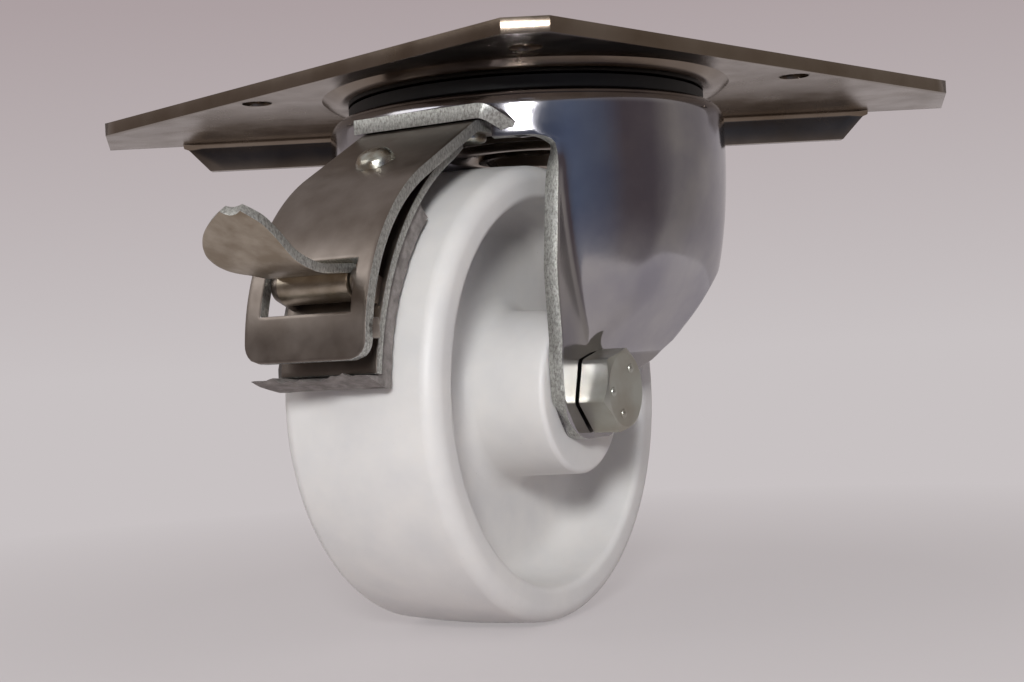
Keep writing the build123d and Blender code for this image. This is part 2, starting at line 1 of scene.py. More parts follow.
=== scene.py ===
"""Visual model of a braked swivel castor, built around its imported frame."""

import json
import math

import bmesh
import bpy
from mathutils import Matrix, Vector, noise


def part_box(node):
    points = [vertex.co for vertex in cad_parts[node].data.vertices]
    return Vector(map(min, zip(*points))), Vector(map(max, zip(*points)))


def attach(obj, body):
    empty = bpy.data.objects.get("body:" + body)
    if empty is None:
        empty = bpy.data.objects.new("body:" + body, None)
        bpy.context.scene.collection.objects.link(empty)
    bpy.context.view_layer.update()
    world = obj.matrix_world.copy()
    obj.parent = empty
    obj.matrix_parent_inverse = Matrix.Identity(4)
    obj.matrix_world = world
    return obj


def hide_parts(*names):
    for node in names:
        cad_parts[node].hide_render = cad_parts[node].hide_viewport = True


bl_info = {
    "name": "Braked castor",
    "version": (1, 0, 0),
    "blender": (4, 5, 0),
    "location": "View3D > Sidebar > Castor",
    "description": "Builds the visual model of a braked swivel castor around its packed frame",
    "category": "Object",
}

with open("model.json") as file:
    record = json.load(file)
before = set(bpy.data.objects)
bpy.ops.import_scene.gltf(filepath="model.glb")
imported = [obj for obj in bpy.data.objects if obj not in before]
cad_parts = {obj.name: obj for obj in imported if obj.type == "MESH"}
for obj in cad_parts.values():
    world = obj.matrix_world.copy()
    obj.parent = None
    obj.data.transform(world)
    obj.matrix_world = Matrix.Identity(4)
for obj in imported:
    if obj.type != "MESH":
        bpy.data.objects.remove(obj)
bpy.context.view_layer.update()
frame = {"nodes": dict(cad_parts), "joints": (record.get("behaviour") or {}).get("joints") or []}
JOINTS = {joint["name"]: joint for joint in frame["joints"]}

MM = 0.001
# The swivel group's own axes: ACROSS runs along the axle to its bolt head, TRAIL runs to the brake.
ACROSS = Vector(JOINTS["wheel_spin"]["axis"])
TRAIL = Vector((ACROSS.y, -ACROSS.x, 0))
AXLE = Vector(JOINTS["wheel_spin"]["pos_m"]) / MM
AXLE_U = AXLE.dot(TRAIL)
AXLE_Z = AXLE.z
PIVOT = Vector(JOINTS["lever_turn"]["pos_m"]) / MM
PIVOT_U = PIVOT.dot(TRAIL)
PIVOT_Z = PIVOT.z
FLOOR_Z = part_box("wheel")[0].z


# Colours and small tools


def linear(code):
    """Turn an sRGB hex colour into linear RGB."""
    parts = [int(code[i : i + 2], 16) / 255 for i in (1, 3, 5)]
    return tuple(c / 12.92 if c <= 0.04045 else ((c + 0.055) / 1.055) ** 2.4 for c in parts)


def colour(label, code, text):
    return bpy.props.FloatVectorProperty(
        name=label, description=text, subtype="COLOR", size=3, min=0, max=1, default=linear(code)
    )


def length(label, value_mm, text):
    return bpy.props.FloatProperty(
        name=label, description=text, subtype="DISTANCE", unit="LENGTH", min=0,
        default=value_mm * MM, precision=4,
    )


def swivelled(x, u, z):
    """Point of the swivel group, in mm along ACROSS, TRAIL and up, as a place in the scene."""
    return (ACROSS * x + TRAIL * u + Vector((0, 0, z))) * MM


def fixed(x, y, z):
    """Point of the plate, in mm, as a place in the scene."""
    return Vector((x, y, z)) * MM


def smooth_step(t):
    t = min(max(t, 0.0), 1.0)
    return t * t * (3 - 2 * t)


def soft_min(a, b, width):
    """Lesser of two values, rounded over a width."""
    h = max(width - abs(a - b), 0) / width
    return min(a, b) - h * h * width / 4


def soft_max(a, b, width):
    return -soft_min(-a, -b, width)


def lengths_along(points):
    """Length from the start of a line to each of its points."""
    lengths = [0.0]
    for a, b in zip(points, points[1:]):
        lengths.append(lengths[-1] + math.dist(a, b))
    return lengths


def evenly(points, step=1.0, count=None):
    """Points at even lengths along a line, about every step or in a count of parts."""
    lengths = lengths_along(points)
    count = count or max(1, round(lengths[-1] / step))
    return at_lengths(points, lengths, [lengths[-1] * i / count for i in range(count + 1)])


def at_lengths(points, lengths, wanted):
    found = []
    i = 0
    for value in wanted:
        while i < len(points) - 2 and lengths[i + 1] < value:
            i += 1
        span = lengths[i + 1] - lengths[i]
        t = (value - lengths[i]) / span if span else 0
        found.append(tuple(p + (q - p) * t for p, q in zip(points[i], points[i + 1])))
    return found


def rounded(points, radii, step=0.35):
    """Line through points, with each inner corner rounded by its radius."""
    line = [points[0]]
    for i, radius in enumerate(radii, start=1):
        before, corner, after = (Vector(points[j]) for j in (i - 1, i, i + 1))
        a = (before - corner).normalized()
        b = (after - corner).normalized()
        half = a.angle(b) / 2
        if radius <= 0 or half > math.pi / 2 - 0.001:
            line.append(tuple(corner))
            continue
        run = radius / math.tan(half)
        centre = corner + (a + b).normalized() * radius / math.sin(half)
        start = corner + a * run - centre
        turn = start.angle_signed(corner + b * run - centre)
        count = max(3, round(abs(turn) * radius / step))
        for k in range(count + 1):
            angle = -turn * k / count
            c, s = math.cos(angle), math.sin(angle)
            x, y = start.x * c - start.y * s, start.x * s + start.y * c
            line.append((centre.x + x, centre.y + y))
    line.append(points[-1])
    return line


def arc(centre, radius, start_deg, end_deg, step=0.35):
    """Points of an arc in the side view."""
    sweep = math.radians(end_deg - start_deg)
    count = max(2, round(abs(sweep) * radius / step))
    return [
        (
            centre[0] + radius * math.cos(math.radians(start_deg) + sweep * k / count),
            centre[1] + radius * math.sin(math.radians(start_deg) + sweep * k / count),
        )
        for k in range(count + 1)
    ]


# Meshes


class Shell:
    """Collects the points and faces of a piece."""

    def __init__(self):
        self.points = []
        self.faces = []

    def row(self, points):
        start = len(self.points)
        self.points.extend(points)
        return list(range(start, start + len(points)))

    def join(self, one, two, closed=False):
        """Faces between two rows of equal length."""
        count = len(one)
        for i in range(count if closed else count - 1):
            k = (i + 1) % count
            self.faces.append((one[i], one[k], two[k], two[i]))

    def grid(self, rows, closed=False):
        rows = [self.row(points) for points in rows]
        for one, two in zip(rows, rows[1:]):
            self.join(one, two, closed)
        return rows

    def ring(self, rows):
        """Closed rows that also join from the last one to the first."""
        rows = self.grid(rows, closed=True)
        self.join(rows[-1], rows[0], closed=True)

    def prism(self, rows):
        """Closed rows with a face across the first and the last one."""
        rows = self.grid(rows, closed=True)
        self.cap(rows[0])
        self.cap(rows[-1])

    def cap(self, row):
        self.faces.append(tuple(row))

    def piece(self, name, sharp=40.0):
        """Object of the collected faces, with outward normals and smooth shading."""
        mesh = bpy.data.meshes.new(name)
        mesh.from_pydata([tuple(p) for p in self.points], [], self.faces)
        tidy(mesh)
        piece = bpy.data.objects.new(name, mesh)
        bpy.context.scene.collection.objects.link(piece)
        smooth(mesh, sharp)
        return piece


def tidy(mesh, merge=1e-7):
    bm = bmesh.new()
    bm.from_mesh(mesh)
    bmesh.ops.remove_doubles(bm, verts=bm.verts, dist=merge)
    bmesh.ops.dissolve_degenerate(bm, edges=bm.edges, dist=merge)
    bmesh.ops.recalc_face_normals(bm, faces=bm.faces)
    bm.to_mesh(mesh)
    bm.free()


def smooth(mesh, angle):
    mesh.shade_smooth()
    mesh.set_sharp_from_angle(angle=math.radians(angle))


def changed(piece, kind, sharp=40.0, **settings):
    """Apply one modifier to a piece."""
    modifier = piece.modifiers.new(kind.title(), kind)
    for key, value in settings.items():
        setattr(modifier, key, value)
    bpy.context.view_layer.update()
    view = piece.evaluated_get(bpy.context.evaluated_depsgraph_get())
    mesh = bpy.data.meshes.new_from_object(view)
    piece.modifiers.clear()
    old = piece.data
    piece.data = mesh
    mesh.name = piece.name
    bpy.data.meshes.remove(old)
    smooth(mesh, sharp)
    return piece


def thickened(piece, thickness, offset, face_finish, edge_finish, edge=0.0, sharp=40.0):
    """Give a sheet its thickness and materials, and round its sheared edges."""
    for name in (face_finish, edge_finish):
        piece.data.materials.append(finish_of(name))
    changed(
        piece, "SOLIDIFY", sharp, thickness=thickness * MM, offset=offset, use_even_offset=True,
        material_offset_rim=1,
    )
    if edge:
        rounded_edges(piece, edge, sharp)


def rounded_edges(piece, width, sharp=40.0):
    return changed(
        piece, "BEVEL", sharp, width=width * MM, segments=2, limit_method="ANGLE",
        angle_limit=math.radians(50), harden_normals=False, use_clamp_overlap=True,
    )


def cut(piece, cutter, sharp=40.0):
    changed(piece, "BOOLEAN", sharp, object=cutter, operation="DIFFERENCE", solver="EXACT")
    bpy.data.objects.remove(cutter)


def joined(name, sharp, *pieces):
    """One smooth shaded piece from several, which keep their own materials."""
    bm = bmesh.new()
    materials = []
    for piece in pieces:
        mesh = piece.data
        index = []
        for material in mesh.materials:
            if material not in materials:
                materials.append(material)
            index.append(materials.index(material))
        start = len(bm.faces)
        bm.from_mesh(mesh)
        bm.faces.ensure_lookup_table()
        for face in bm.faces[start:]:
            face.material_index = index[face.material_index] if index else 0
    mesh = bpy.data.meshes.new(name)
    bm.to_mesh(mesh)
    bm.free()
    for material in materials:
        mesh.materials.append(material)
    for piece in pieces:
        bpy.data.objects.remove(piece)
    whole = bpy.data.objects.new(name, mesh)
    bpy.context.scene.collection.objects.link(whole)
    smooth(mesh, sharp)
    return whole


def spun(profile, place, segments):
    """Shell of a closed profile of (radius, height) points turned about an axis."""
    turns = [2 * math.pi * k / segments for k in range(segments)]
    shell = Shell()
    shell.ring([
        [place(radius * math.cos(a), radius * math.sin(a), height) for a in turns]
        for radius, height in profile
    ])
    return shell


def about_axle(a, b, along):
    """Place of a point beside the axle: a ahead, b up, and its distance along the axle."""
    return swivelled(along, AXLE_U + a, AXLE_Z + b)


def dressed(piece, body, slot, *nodes, materials=()):
    """Give a piece its materials and its body, and hide the CAD nodes that it stands for."""
    for material in materials:
        piece.data.materials.append(material)
    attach(piece, body)
    if nodes:
        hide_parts(*nodes)


# Materials

# Colour sockets of the Mix node, which share their names with its other sockets.
MIX_ONE, MIX_TWO, MIX_OUT = 6, 7, 2
# Stretch of a grain that runs in no direction.
EVEN = (1, 1, 1)


def add_node(tree, kind, inputs=None, stops=(), **settings):
    """Add one node with its settings, colour stops, values and links."""
    node = tree.nodes.new(kind)
    for key, value in settings.items():
        setattr(node, key, value)
    for key, value in (inputs or {}).items():
        if isinstance(value, bpy.types.NodeSocket):
            tree.links.new(value, node.inputs[key])
        else:
            node.inputs[key].default_value = value
    if stops:
        elements = node.color_ramp.elements
        while len(elements) < len(stops):
            elements.new(0.5)
        for element, (place, value) in zip(elements, stops):
            element.position = place
            element.color = rgba(value)
    return node


def new_material(name):
    material = bpy.data.materials.new(name)
    material.use_nodes = True
    tree = material.node_tree
    tree.nodes.clear()
    shader = add_node(tree, "ShaderNodeBsdfPrincipled")
    add_node(tree, "ShaderNodeOutputMaterial", {"Surface": shader.outputs["BSDF"]})
    return material, tree, shader


def rgba(value):
    return (*value, 1.0)


def pattern(tree, size_mm, detail=3.0, stretch=EVEN, rough=0.5):
    """Noise with features of about a size in mm, in the piece's own place."""
    place = add_node(tree, "ShaderNodeTexCoord")
    mapping = add_node(
        tree, "ShaderNodeMapping", {"Vector": place.outputs["Object"], "Scale": stretch}
    )
    return add_node(
        tree, "ShaderNodeTexNoise",
        {"Vector": mapping.outputs["Vector"], "Scale": 1 / (size_mm * MM), "Detail": detail,
         "Roughness": rough},
    )


def plated(name, main, tint, rough_low, rough_high, patch_mm, grain_mm, grain_stretch,
           grain_depth, wave_mm=0.0, wave_depth=0.0):
    """Zinc plated steel: a metal with patches of tint and haze, a grain and a slight waviness."""
    _, tree, shader = new_material(name)
    patches = pattern(tree, patch_mm, detail=4)
    colours = add_node(
        tree, "ShaderNodeValToRGB", {"Fac": patches.outputs["Fac"]}, [(0.36, main), (0.66, tint)]
    )
    haze = pattern(tree, patch_mm * 0.45, detail=5)
    grain = pattern(tree, grain_mm, detail=4, stretch=grain_stretch)
    rough = add_node(
        tree, "ShaderNodeMapRange",
        {"Value": haze.outputs["Fac"], "From Min": 0.3, "From Max": 0.7, "To Min": rough_low,
         "To Max": rough_high},
    )
    bump = add_node(
        tree, "ShaderNodeBump",
        {"Height": grain.outputs["Fac"], "Strength": 1.0, "Distance": grain_depth * MM},
    )
    if wave_depth:
        waves = pattern(tree, wave_mm, detail=1)
        bump = add_node(
            tree, "ShaderNodeBump",
            {"Height": waves.outputs["Fac"], "Strength": 1.0, "Distance": wave_depth * MM,
             "Normal": bump.outputs["Normal"]},
        )
    tree.links.new(colours.outputs["Color"], shader.inputs["Base Color"])
    tree.links.new(rough.outputs["Result"], shader.inputs["Roughness"])
    tree.links.new(bump.outputs["Normal"], shader.inputs["Normal"])
    shader.inputs["Metallic"].default_value = 1.0


def sheared(name, main, dark):
    """Sheared edge of a plated sheet, with tears drawn as coarse as the render can show."""
    _, tree, shader = new_material(name)
    tears = pattern(tree, 0.3, detail=5, stretch=(1, 1, 0.5), rough=0.7)
    colours = add_node(
        tree, "ShaderNodeValToRGB", {"Fac": tears.outputs["Fac"]}, [(0.35, dark), (0.6, main)]
    )
    bump = add_node(
        tree, "ShaderNodeBump",
        {"Height": tears.outputs["Fac"], "Strength": 1.0, "Distance": 0.1 * MM},
    )
    tree.links.new(colours.outputs["Color"], shader.inputs["Base Color"])
    tree.links.new(bump.outputs["Normal"], shader.inputs["Normal"])
    shader.inputs["Metallic"].default_value = 0.8
    shader.inputs["Roughness"].default_value = 0.33


def moulded_nylon(name, main, shade, dirt):
    """Moulded nylon: satin, slightly translucent, with a faint scuffed tread."""
    _, tree, shader = new_material(name)
    cloud = pattern(tree, 9.0, detail=3)
    base = add_node(
        tree, "ShaderNodeValToRGB", {"Fac": cloud.outputs["Fac"]}, [(0.35, main), (0.75, shade)]
    )
    specks = pattern(tree, 0.9, detail=3, rough=0.6)
    spots = add_node(
        tree, "ShaderNodeMapRange",
        {"Value": specks.outputs["Fac"], "From Min": 0.745, "From Max": 0.80, "To Max": 0.55},
    )
    mixed = add_node(
        tree, "ShaderNodeMix",
        {"Factor": spots.outputs["Result"], MIX_ONE: base.outputs["Color"], MIX_TWO: rgba(dirt)},
        data_type="RGBA",
    )
    fine = pattern(tree, 0.5, detail=4)
    bump = add_node(
        tree, "ShaderNodeBump",
        {"Height": fine.outputs["Fac"], "Strength": 0.5, "Distance": 0.02 * MM},
    )
    rough = add_node(
        tree, "ShaderNodeMapRange",
        {"Value": cloud.outputs["Fac"], "From Min": 0.3, "From Max": 0.7, "To Min": 0.4,
         "To Max": 0.5},
    )
    tree.links.new(mixed.outputs[MIX_OUT], shader.inputs["Base Color"])
    tree.links.new(rough.outputs["Result"], shader.inputs["Roughness"])
    tree.links.new(bump.outputs["Normal"], shader.inputs["Normal"])
    shader.inputs["IOR"].default_value = 1.53
    shader.inputs["Subsurface Weight"].default_value = 0.35
    shader.inputs["Subsurface Radius"].default_value = (1.0, 0.95, 0.9)
    shader.inputs["Subsurface Scale"].default_value = 2.5 * MM


def rubber(name, main, worn, rough_value, tear_mm, tear_depth):
    """Moulded rubber with rubbed grey patches."""
    _, tree, shader = new_material(name)
    patches = pattern(tree, 2.2, detail=5, rough=0.6)
    base = add_node(
        tree, "ShaderNodeValToRGB", {"Fac": patches.outputs["Fac"]}, [(0.38, main), (0.68, worn)]
    )
    tears = pattern(tree, tear_mm, detail=5, rough=0.65)
    bump = add_node(
        tree, "ShaderNodeBump",
        {"Height": tears.outputs["Fac"], "Strength": 1.0, "Distance": tear_depth * MM},
    )
    tree.links.new(base.outputs["Color"], shader.inputs["Base Color"])
    tree.links.new(bump.outputs["Normal"], shader.inputs["Normal"])
    shader.inputs["Roughness"].default_value = rough_value
    shader.inputs["IOR"].default_value = 1.52


# The piece builders follow the source's sizes, in mm


class PlateSizes(bpy.types.PropertyGroup):
    sheet: length("Sheet", 2.5, "Thickness of the plate's sheet")
    edge: length("Edge rounding", 0.3, "Rounding of the plate's sheared edges")
    dish_radius: length("Dish radius", 37.4, "Outer radius of the pressed dish")
    dish_depth: length("Dish depth", 1.7, "Depth of the pressed dish")
    hole_radius: length("Screw hole radius", 2.75, "Radius of the screw holes")


class ForkSizes(bpy.types.PropertyGroup):
    sheet: length("Sheet", 2.5, "Thickness of the fork's sheet")
    crown_radius: length("Crown radius", 37.0, "Outer radius of the round crown")
    half_width: length("Half width at the axle", 22.8, "Outer half width over the flat pads")
    edge: length("Edge rounding", 0.35, "Rounding of the fork's sheared edges")
    crease: length("Crease width", 2.4, "Width of the soft creases between the drawn forms")


class WheelSizes(bpy.types.PropertyGroup):
    radius: length("Radius", 40.0, "Radius of the wheel at the middle of its tread")
    half_width: length("Half width", 15.0, "Half the width of the tread")


class BrakeSizes(bpy.types.PropertyGroup):
    cover_sheet: length("Cover sheet", 2.0, "Thickness of the brake cover")
    cover_half: length("Cover half width", 11.5, "Half the width of the brake cover")
    leaf_sheet: length("Leaf sheet", 1.5, "Thickness of the spring leaf")
    lever_sheet: length("Lever sheet", 1.5, "Thickness of the brake lever")
    tear: length("Torn edge", 0.9, "How far the torn edge of the pad stands out")


class Finish(bpy.types.PropertyGroup):
    # The plate's zinc colours are darkened and browned: painted shade that stands in for the
    # shadowed surface the plate mirrors.
    plate: colour("Plate zinc", "#8c8074", "Zinc on the pressed plate")
    plate_tint_painted_shade: colour("Plate tint", "#756759", "Tint in the plate's zinc")
    mirror: colour("Fork zinc", "#b3b1b2", "Bright zinc on the drawn fork")
    mirror_tint: colour("Fork tint", "#9d9ba3", "Tint in the fork's zinc")
    satin: colour("Cover zinc", "#8f867f", "Satin zinc on the brake cover")
    satin_tint: colour("Cover tint", "#7d736b", "Tint in the cover's zinc")
    edge: colour("Sheared edge", "#c9cac5", "Bright sheared edges")
    edge_dark: colour("Sheared edge, dark", "#86847f", "Tears in the sheared edges")
    bolt: colour("Bolt zinc", "#bfc2ba", "Zinc on the bolt and nut")
    bolt_tint: colour("Bolt tint", "#aca89c", "Tint in the bolt's zinc")
    lever: colour("Lever zinc", "#b3a898", "Zinc on the lever")
    lever_tint: colour("Lever tint", "#948775", "Tint in the lever's zinc")
    nylon: colour("Nylon", "#e6e4e1", "White nylon of the wheel")
    nylon_shade: colour("Nylon shade", "#dcdbda", "Clouding in the nylon")
    nylon_dirt: colour("Nylon dirt", "#8e8478", "Small scuffs on the wheel")
    rubber: colour("Rubber", "#726c69", "Grey rubber of the brake pad")
    rubber_worn: colour("Rubber, rubbed", "#9b9591", "Rubbed patches of the pad")


class StageSettings(bpy.types.PropertyGroup):
    floor: colour("Floor", "#d2cccd", "Plain pale floor")
    paper_glow: colour("Floor in view", "#c8c2c3", "Colour that the floor fades to")
    backdrop: colour("Backdrop", "#c8c2c3", "Plain pale backdrop near the floor")
    # The backdrop's top colour is darker: painted light falloff towards the top.
    backdrop_top_painted_falloff: colour("Backdrop, top", "#aca0a2", "Plain pale backdrop at the top")
    key_level: bpy.props.FloatProperty(
        name="Key light", description="Power of the main soft light", subtype="POWER",
        unit="POWER", min=0, default=2.6,
    )
    fill_level: bpy.props.FloatProperty(
        name="Fill light", description="Power of the side fill light", subtype="POWER",
        unit="POWER", min=0, default=1.2,
    )
    room_level: bpy.props.FloatProperty(
        name="Room light", description="Strength of the light from the room", min=0, default=0.9,
    )
    lens: bpy.props.FloatProperty(
        name="Lens", description="Focal length of the camera in mm", min=10, default=56.25,
    )


PROPERTY_GROUPS = {
    "castor_plate": PlateSizes,
    "castor_fork": ForkSizes,
    "castor_wheel": WheelSizes,
    "castor_brake": BrakeSizes,
    "castor_finish": Finish,
    "castor_stage": StageSettings,
}


def sizes(group):
    """A group's lengths in mm."""
    return {key: getattr(group, key) / MM for key in group.__annotations__}


def finish_of(name):
    return bpy.data.materials[name]


# Top plate

PLATE_APEX = (3.8, -58.3)
PLATE_CORNER_X = 86.0
PLATE_HEEL = (90.6, 45.5)
FLANGE_DEPTH = 8.4
FLANGE_BEND_HALF = 74.0
FLANGE_TIP_HALF = 68.5
# Outer radius of the bend between the flat part and the flange.
FLANGE_BEND = 3.7
SCREW_HOLES = ((50.0, -5.5), (-50.0, -5.5), (0.0, -46.5))
KINGPIN_BORE = 5.02
UPPER_RACE = 26.0
RACE_DEPTH = 1.2
RACE_RADIUS = 2.5


def bead(centre, height, sign, radius, step=0.35):
    """Arc of a pressed bead, in a profile of (radius, height)."""
    half = math.asin(math.sqrt(radius**2 - (radius - RACE_DEPTH) ** 2) / radius)
    middle = height + sign * (RACE_DEPTH - radius)
    count = max(6, round(2 * half * radius / step))
    return [
        (
            centre + radius * math.sin(-half + 2 * half * k / count),
            middle + sign * radius * math.cos(-half + 2 * half * k / count),
        )
        for k in range(count + 1)
    ]


def plate_corners():
    """Corners of the flat part's near side, from the apex to the bend at the heel."""
    apex_x, apex_y = PLATE_APEX
    heel_x, heel_y = PLATE_HEEL
    corner_y = PLATE_CORNER_X - apex_x + apex_y
    bend_y = heel_y - FLANGE_BEND
    part = (bend_y - corner_y) / (heel_y - corner_y)
    bend_x = PLATE_CORNER_X + (heel_x - PLATE_CORNER_X) * part
    return [(apex_x, apex_y), (PLATE_CORNER_X, corner_y), (bend_x, bend_y)]


def plate_edge(angle):
    """Where a ray from the swivel axis meets the flat part's edge."""
    right = plate_corners()
    corners = right + [(-x, y) for x, y in reversed(right)]
    rx, ry = math.cos(angle), math.sin(angle)
    found = []
    for (x1, y1), (x2, y2) in zip(corners, corners[1:] + corners[:1]):
        dx, dy = x2 - x1, y2 - y1
        base = rx * dy - ry * dx
        if abs(base) < 1e-9:
            continue
        reach = (x1 * dy - y1 * dx) / base
        place = (x1 * ry - y1 * rx) / base
        if reach > 0 and -1e-6 <= place <= 1 + 1e-6:
            found.append(reach)
    return min(found)


def plate_angles():
    """Ray angles, closer near the plate's corners and where the flange starts."""
    right = plate_corners()
    right.append((FLANGE_BEND_HALF, right[-1][1]))
    corners = right + [(-x, y) for x, y in right]
    marks = sorted(math.atan2(y, x) % (2 * math.pi) for x, y in corners)
    angles = []
    for one, two in zip(marks, marks[1:] + [marks[0] + 2 * math.pi]):
        count = max(2, round((two - one) / math.radians(1.25)))
        angles += [one + (two - one) * k / count for k in range(count)]
    return angles


def plate_profile(top, radius, depth):
    """Upper surface of the dish from the kingpin's bore to the flat sheet."""
    floor = radius - 2.2
    flat = rounded(
        [(UPPER_RACE + 5, -depth), (floor, -depth), (radius, top), (radius + 2.5, top)],
        [2.0, 2.0],
    )
    line = [(KINGPIN_BORE, -depth)]
    line += evenly([(KINGPIN_BORE, -depth), (UPPER_RACE - 6, -depth)], 2.0)[1:]
    line += bead(UPPER_RACE, -depth, 1, RACE_RADIUS + 2.5)
    return line + flat[1:]


class CASTOR_OT_top_plate(bpy.types.Operator):
    """Pressed corner plate with its dish, flange and screw holes"""

    bl_idname = "castor.top_plate"
    bl_label = "Top plate"

    def execute(self, context):
        plate = sizes(context.scene.castor_plate)
        angles = plate_angles()
        profile = plate_profile(0.0, plate["dish_radius"], plate["dish_depth"])
        rings = [([radius] * len(angles), z) for radius, z in profile]
        start = profile[-1][0]
        edge = [plate_edge(angle) for angle in angles]
        for k in range(1, 13):
            rings.append(([start + (reach - start) * (k / 12) for reach in edge], 0))
        shell = Shell()
        shell.grid(
            [
                [fixed(r * math.cos(a), r * math.sin(a), z) for r, a in zip(reaches, angles)]
                for reaches, z in rings
            ],
            closed=True,
        )
        self.heels_and_flange(shell, angles, edge, plate["sheet"])
        piece = shell.piece("corner_plate")
        zinc = "bright_zinc_with_painted_shade"
        thickened(piece, plate["sheet"], -1, zinc, zinc)
        for x, y in SCREW_HOLES:
            hole = spun(
                [(0.001, 1), (plate["hole_radius"], 1), (plate["hole_radius"], -4), (0.001, -4)],
                lambda a, b, h, x=x, y=y: fixed(x + a, y + b, h), 40,
            ).piece("hole")
            cut(piece, hole)
        rounded_edges(piece, plate["edge"])
        dressed(piece, "plate", "zinc_plate", "top_plate")
        return {"FINISHED"}

    def heels_and_flange(self, shell, angles, reach, sheet):
        """Rows beyond the bend line: bent down along the flange, flat at the two heels."""
        bend_y = plate_corners()[-1][1]
        line = [(e * math.cos(a), e * math.sin(a)) for a, e in zip(angles, reach)]
        edge = sorted((p for p in line if abs(p[1] - bend_y) < 1e-6), key=lambda p: p[0])
        bent = [p[0] for p in edge if abs(p[0]) <= FLANGE_BEND_HALF + 1e-6]
        back = bend_y + FLANGE_BEND
        profile = rounded([(bend_y, 0), (back, 0), (back, -FLANGE_DEPTH)], [FLANGE_BEND])
        rows = []
        for y, z in profile:
            below = max(0.0, -z - sheet)
            half = FLANGE_BEND_HALF - (FLANGE_BEND_HALF - FLANGE_TIP_HALF) * below / (
                FLANGE_DEPTH - sheet
            )
            rows.append([fixed(x * half / FLANGE_BEND_HALF, y, z) for x in bent])
        shell.grid(rows)
        slope = (PLATE_HEEL[0] - edge[-1][0]) / (PLATE_HEEL[1] - bend_y)
        for side in (-1, 1):
            xs = sorted(abs(p[0]) for p in edge if p[0] * side >= FLANGE_BEND_HALF - 1e-6)
            rows = []
            for k in range(4):
                y = bend_y + (PLATE_HEEL[1] - bend_y) * k / 3
                widest = xs[-1] + slope * (y - bend_y)
                ratio = (widest - xs[0]) / (xs[-1] - xs[0])
                rows.append([fixed(side * (xs[0] + (x - xs[0]) * ratio), y, 0) for x in xs])
            shell.grid(rows)


# Fork

CROWN_TOP = -6.64
CROWN_EDGE = 3.4
CROWN_SKIRT = 8.5
FORK_BORE = 7.0
LOWER_RACE = 13.5
SHELF_HALF = 12.9
SHELF_UNDER = -12.24
SHELF_FRONT = 37.8
SHELF_REAR = 29.5
SHELF_STEP = 2.4
LEG_LOW = AXLE_Z - 8.0
SCOOP_WIDE = 37.5
SCOOP_TOP = -17.0
SCOOP_LOW = -50.5
# How much the crown closes in below its skirt, for each mm of depth squared.
CROWN_DRAFT = 0.0045


def scoop_half(z, half):
    """Half width of the fork's front view, which curves in to the flat pads."""
    step_in, step_down = SCOOP_WIDE - half, SCOOP_TOP - SCOOP_LOW
    radius = (step_in**2 + step_down**2) / (2 * step_in)
    depth = max(0.0, SCOOP_TOP - z)
    curve = SCOOP_WIDE - radius + math.sqrt(max(radius**2 - depth**2, 1.0))
    return soft_max(curve, half, 3.0)


def fork_reach(angle, z, fork):
    """Distance of the fork's outer surface from the swivel axis, at an angle from TRAIL."""
    half = fork["half_width"]
    skirt = CROWN_TOP - CROWN_SKIRT
    crown = fork["crown_radius"] - CROWN_DRAFT * max(skirt - z, 0.0) ** 2
    side = max(abs(math.sin(angle)), 1e-6)
    reach = crown
    if math.cos(angle) > 0.2 and z < skirt:
        reach = soft_max(crown, min(half / side, 1.4 * crown), 1.2)
    found = soft_min(reach, scoop_half(z, half) / side, fork["crease"])
    return crown + (found - crown) * smooth_step((skirt - z) / 6)


def fork_outline():
    """Side view of a leg: rear chain and front chain of (u, z), from the skirt down."""
    skirt = CROWN_TOP - CROWN_SKIRT
    front = rounded(
        [(36.0, skirt), (29.5, skirt), (32.5, -38.0), (31.0, LEG_LOW), (21.0, LEG_LOW)],
        [2.0, 18.0, 8.4], 0.25,
    )
    rear = rounded(
        [
            (-37.5, skirt), (-31.0, skirt), (-25.0, -27.0), (-11.8, -40.5), (-10.2, -50.0),
            (-3.0, -53.4), (5.0, -55.4), (13.5, LEG_LOW), (21.0, LEG_LOW),
        ],
        [2.0, 10.0, 8.0, 3.5, 6.0, 6.0, 6.0], 0.25,
    )
    return rear, front


def across_at(chain, z):
    """Where a chain that runs down passes a height."""
    for (u1, z1), (u2, z2) in zip(chain, chain[1:]):
        if z2 <= z <= z1 and z1 - z2 > 1e-4:
            return u1 + (u2 - u1) * (z1 - z) / (z1 - z2)
    return chain[-1][0]


def leg_rows(fork, columns):
    """Rows of (x, u, z) of the outer surface of the near leg, from the skirt to its low end."""
    rear, front = fork_outline()
    skirt = CROWN_TOP - CROWN_SKIRT
    levels = [skirt - 2.0 * (1 - math.cos(k * math.pi / 16)) for k in range(8)]
    levels += [skirt - 2.0 - k * 0.85 for k in range(1, 47)]
    knee = levels[-1] - 0.85
    levels += [knee + (LEG_LOW - knee) * math.sin(k * math.pi / 32) for k in range(17)]
    rows = []
    for z in levels:
        section = []
        for k in range(421):
            angle = math.radians(20 + 140 * k / 420)
            reach = fork_reach(angle, z, fork)
            section.append((reach * math.sin(angle), reach * math.cos(angle)))
        level = min(max(z, LEG_LOW + 0.01), skirt - 0.01)
        inside = clipped(section, across_at(rear, level), across_at(front, level))
        rows.append([(x, u, z) for x, u in evenly(inside, count=columns - 1)])
    return rows


def clipped(section, deep, high):
    """Part of a section between two values of u, with exact ends."""
    inside = []
    for one, two in zip(section, section[1:]):
        for limit in sorted((deep, high), reverse=True):
            if (one[1] - limit) * (two[1] - limit) < 0:
                t = (one[1] - limit) / (one[1] - two[1])
                inside.append((one[0] + (two[0] - one[0]) * t, limit))
        if deep < two[1] < high:
            inside.append(two)
    return inside


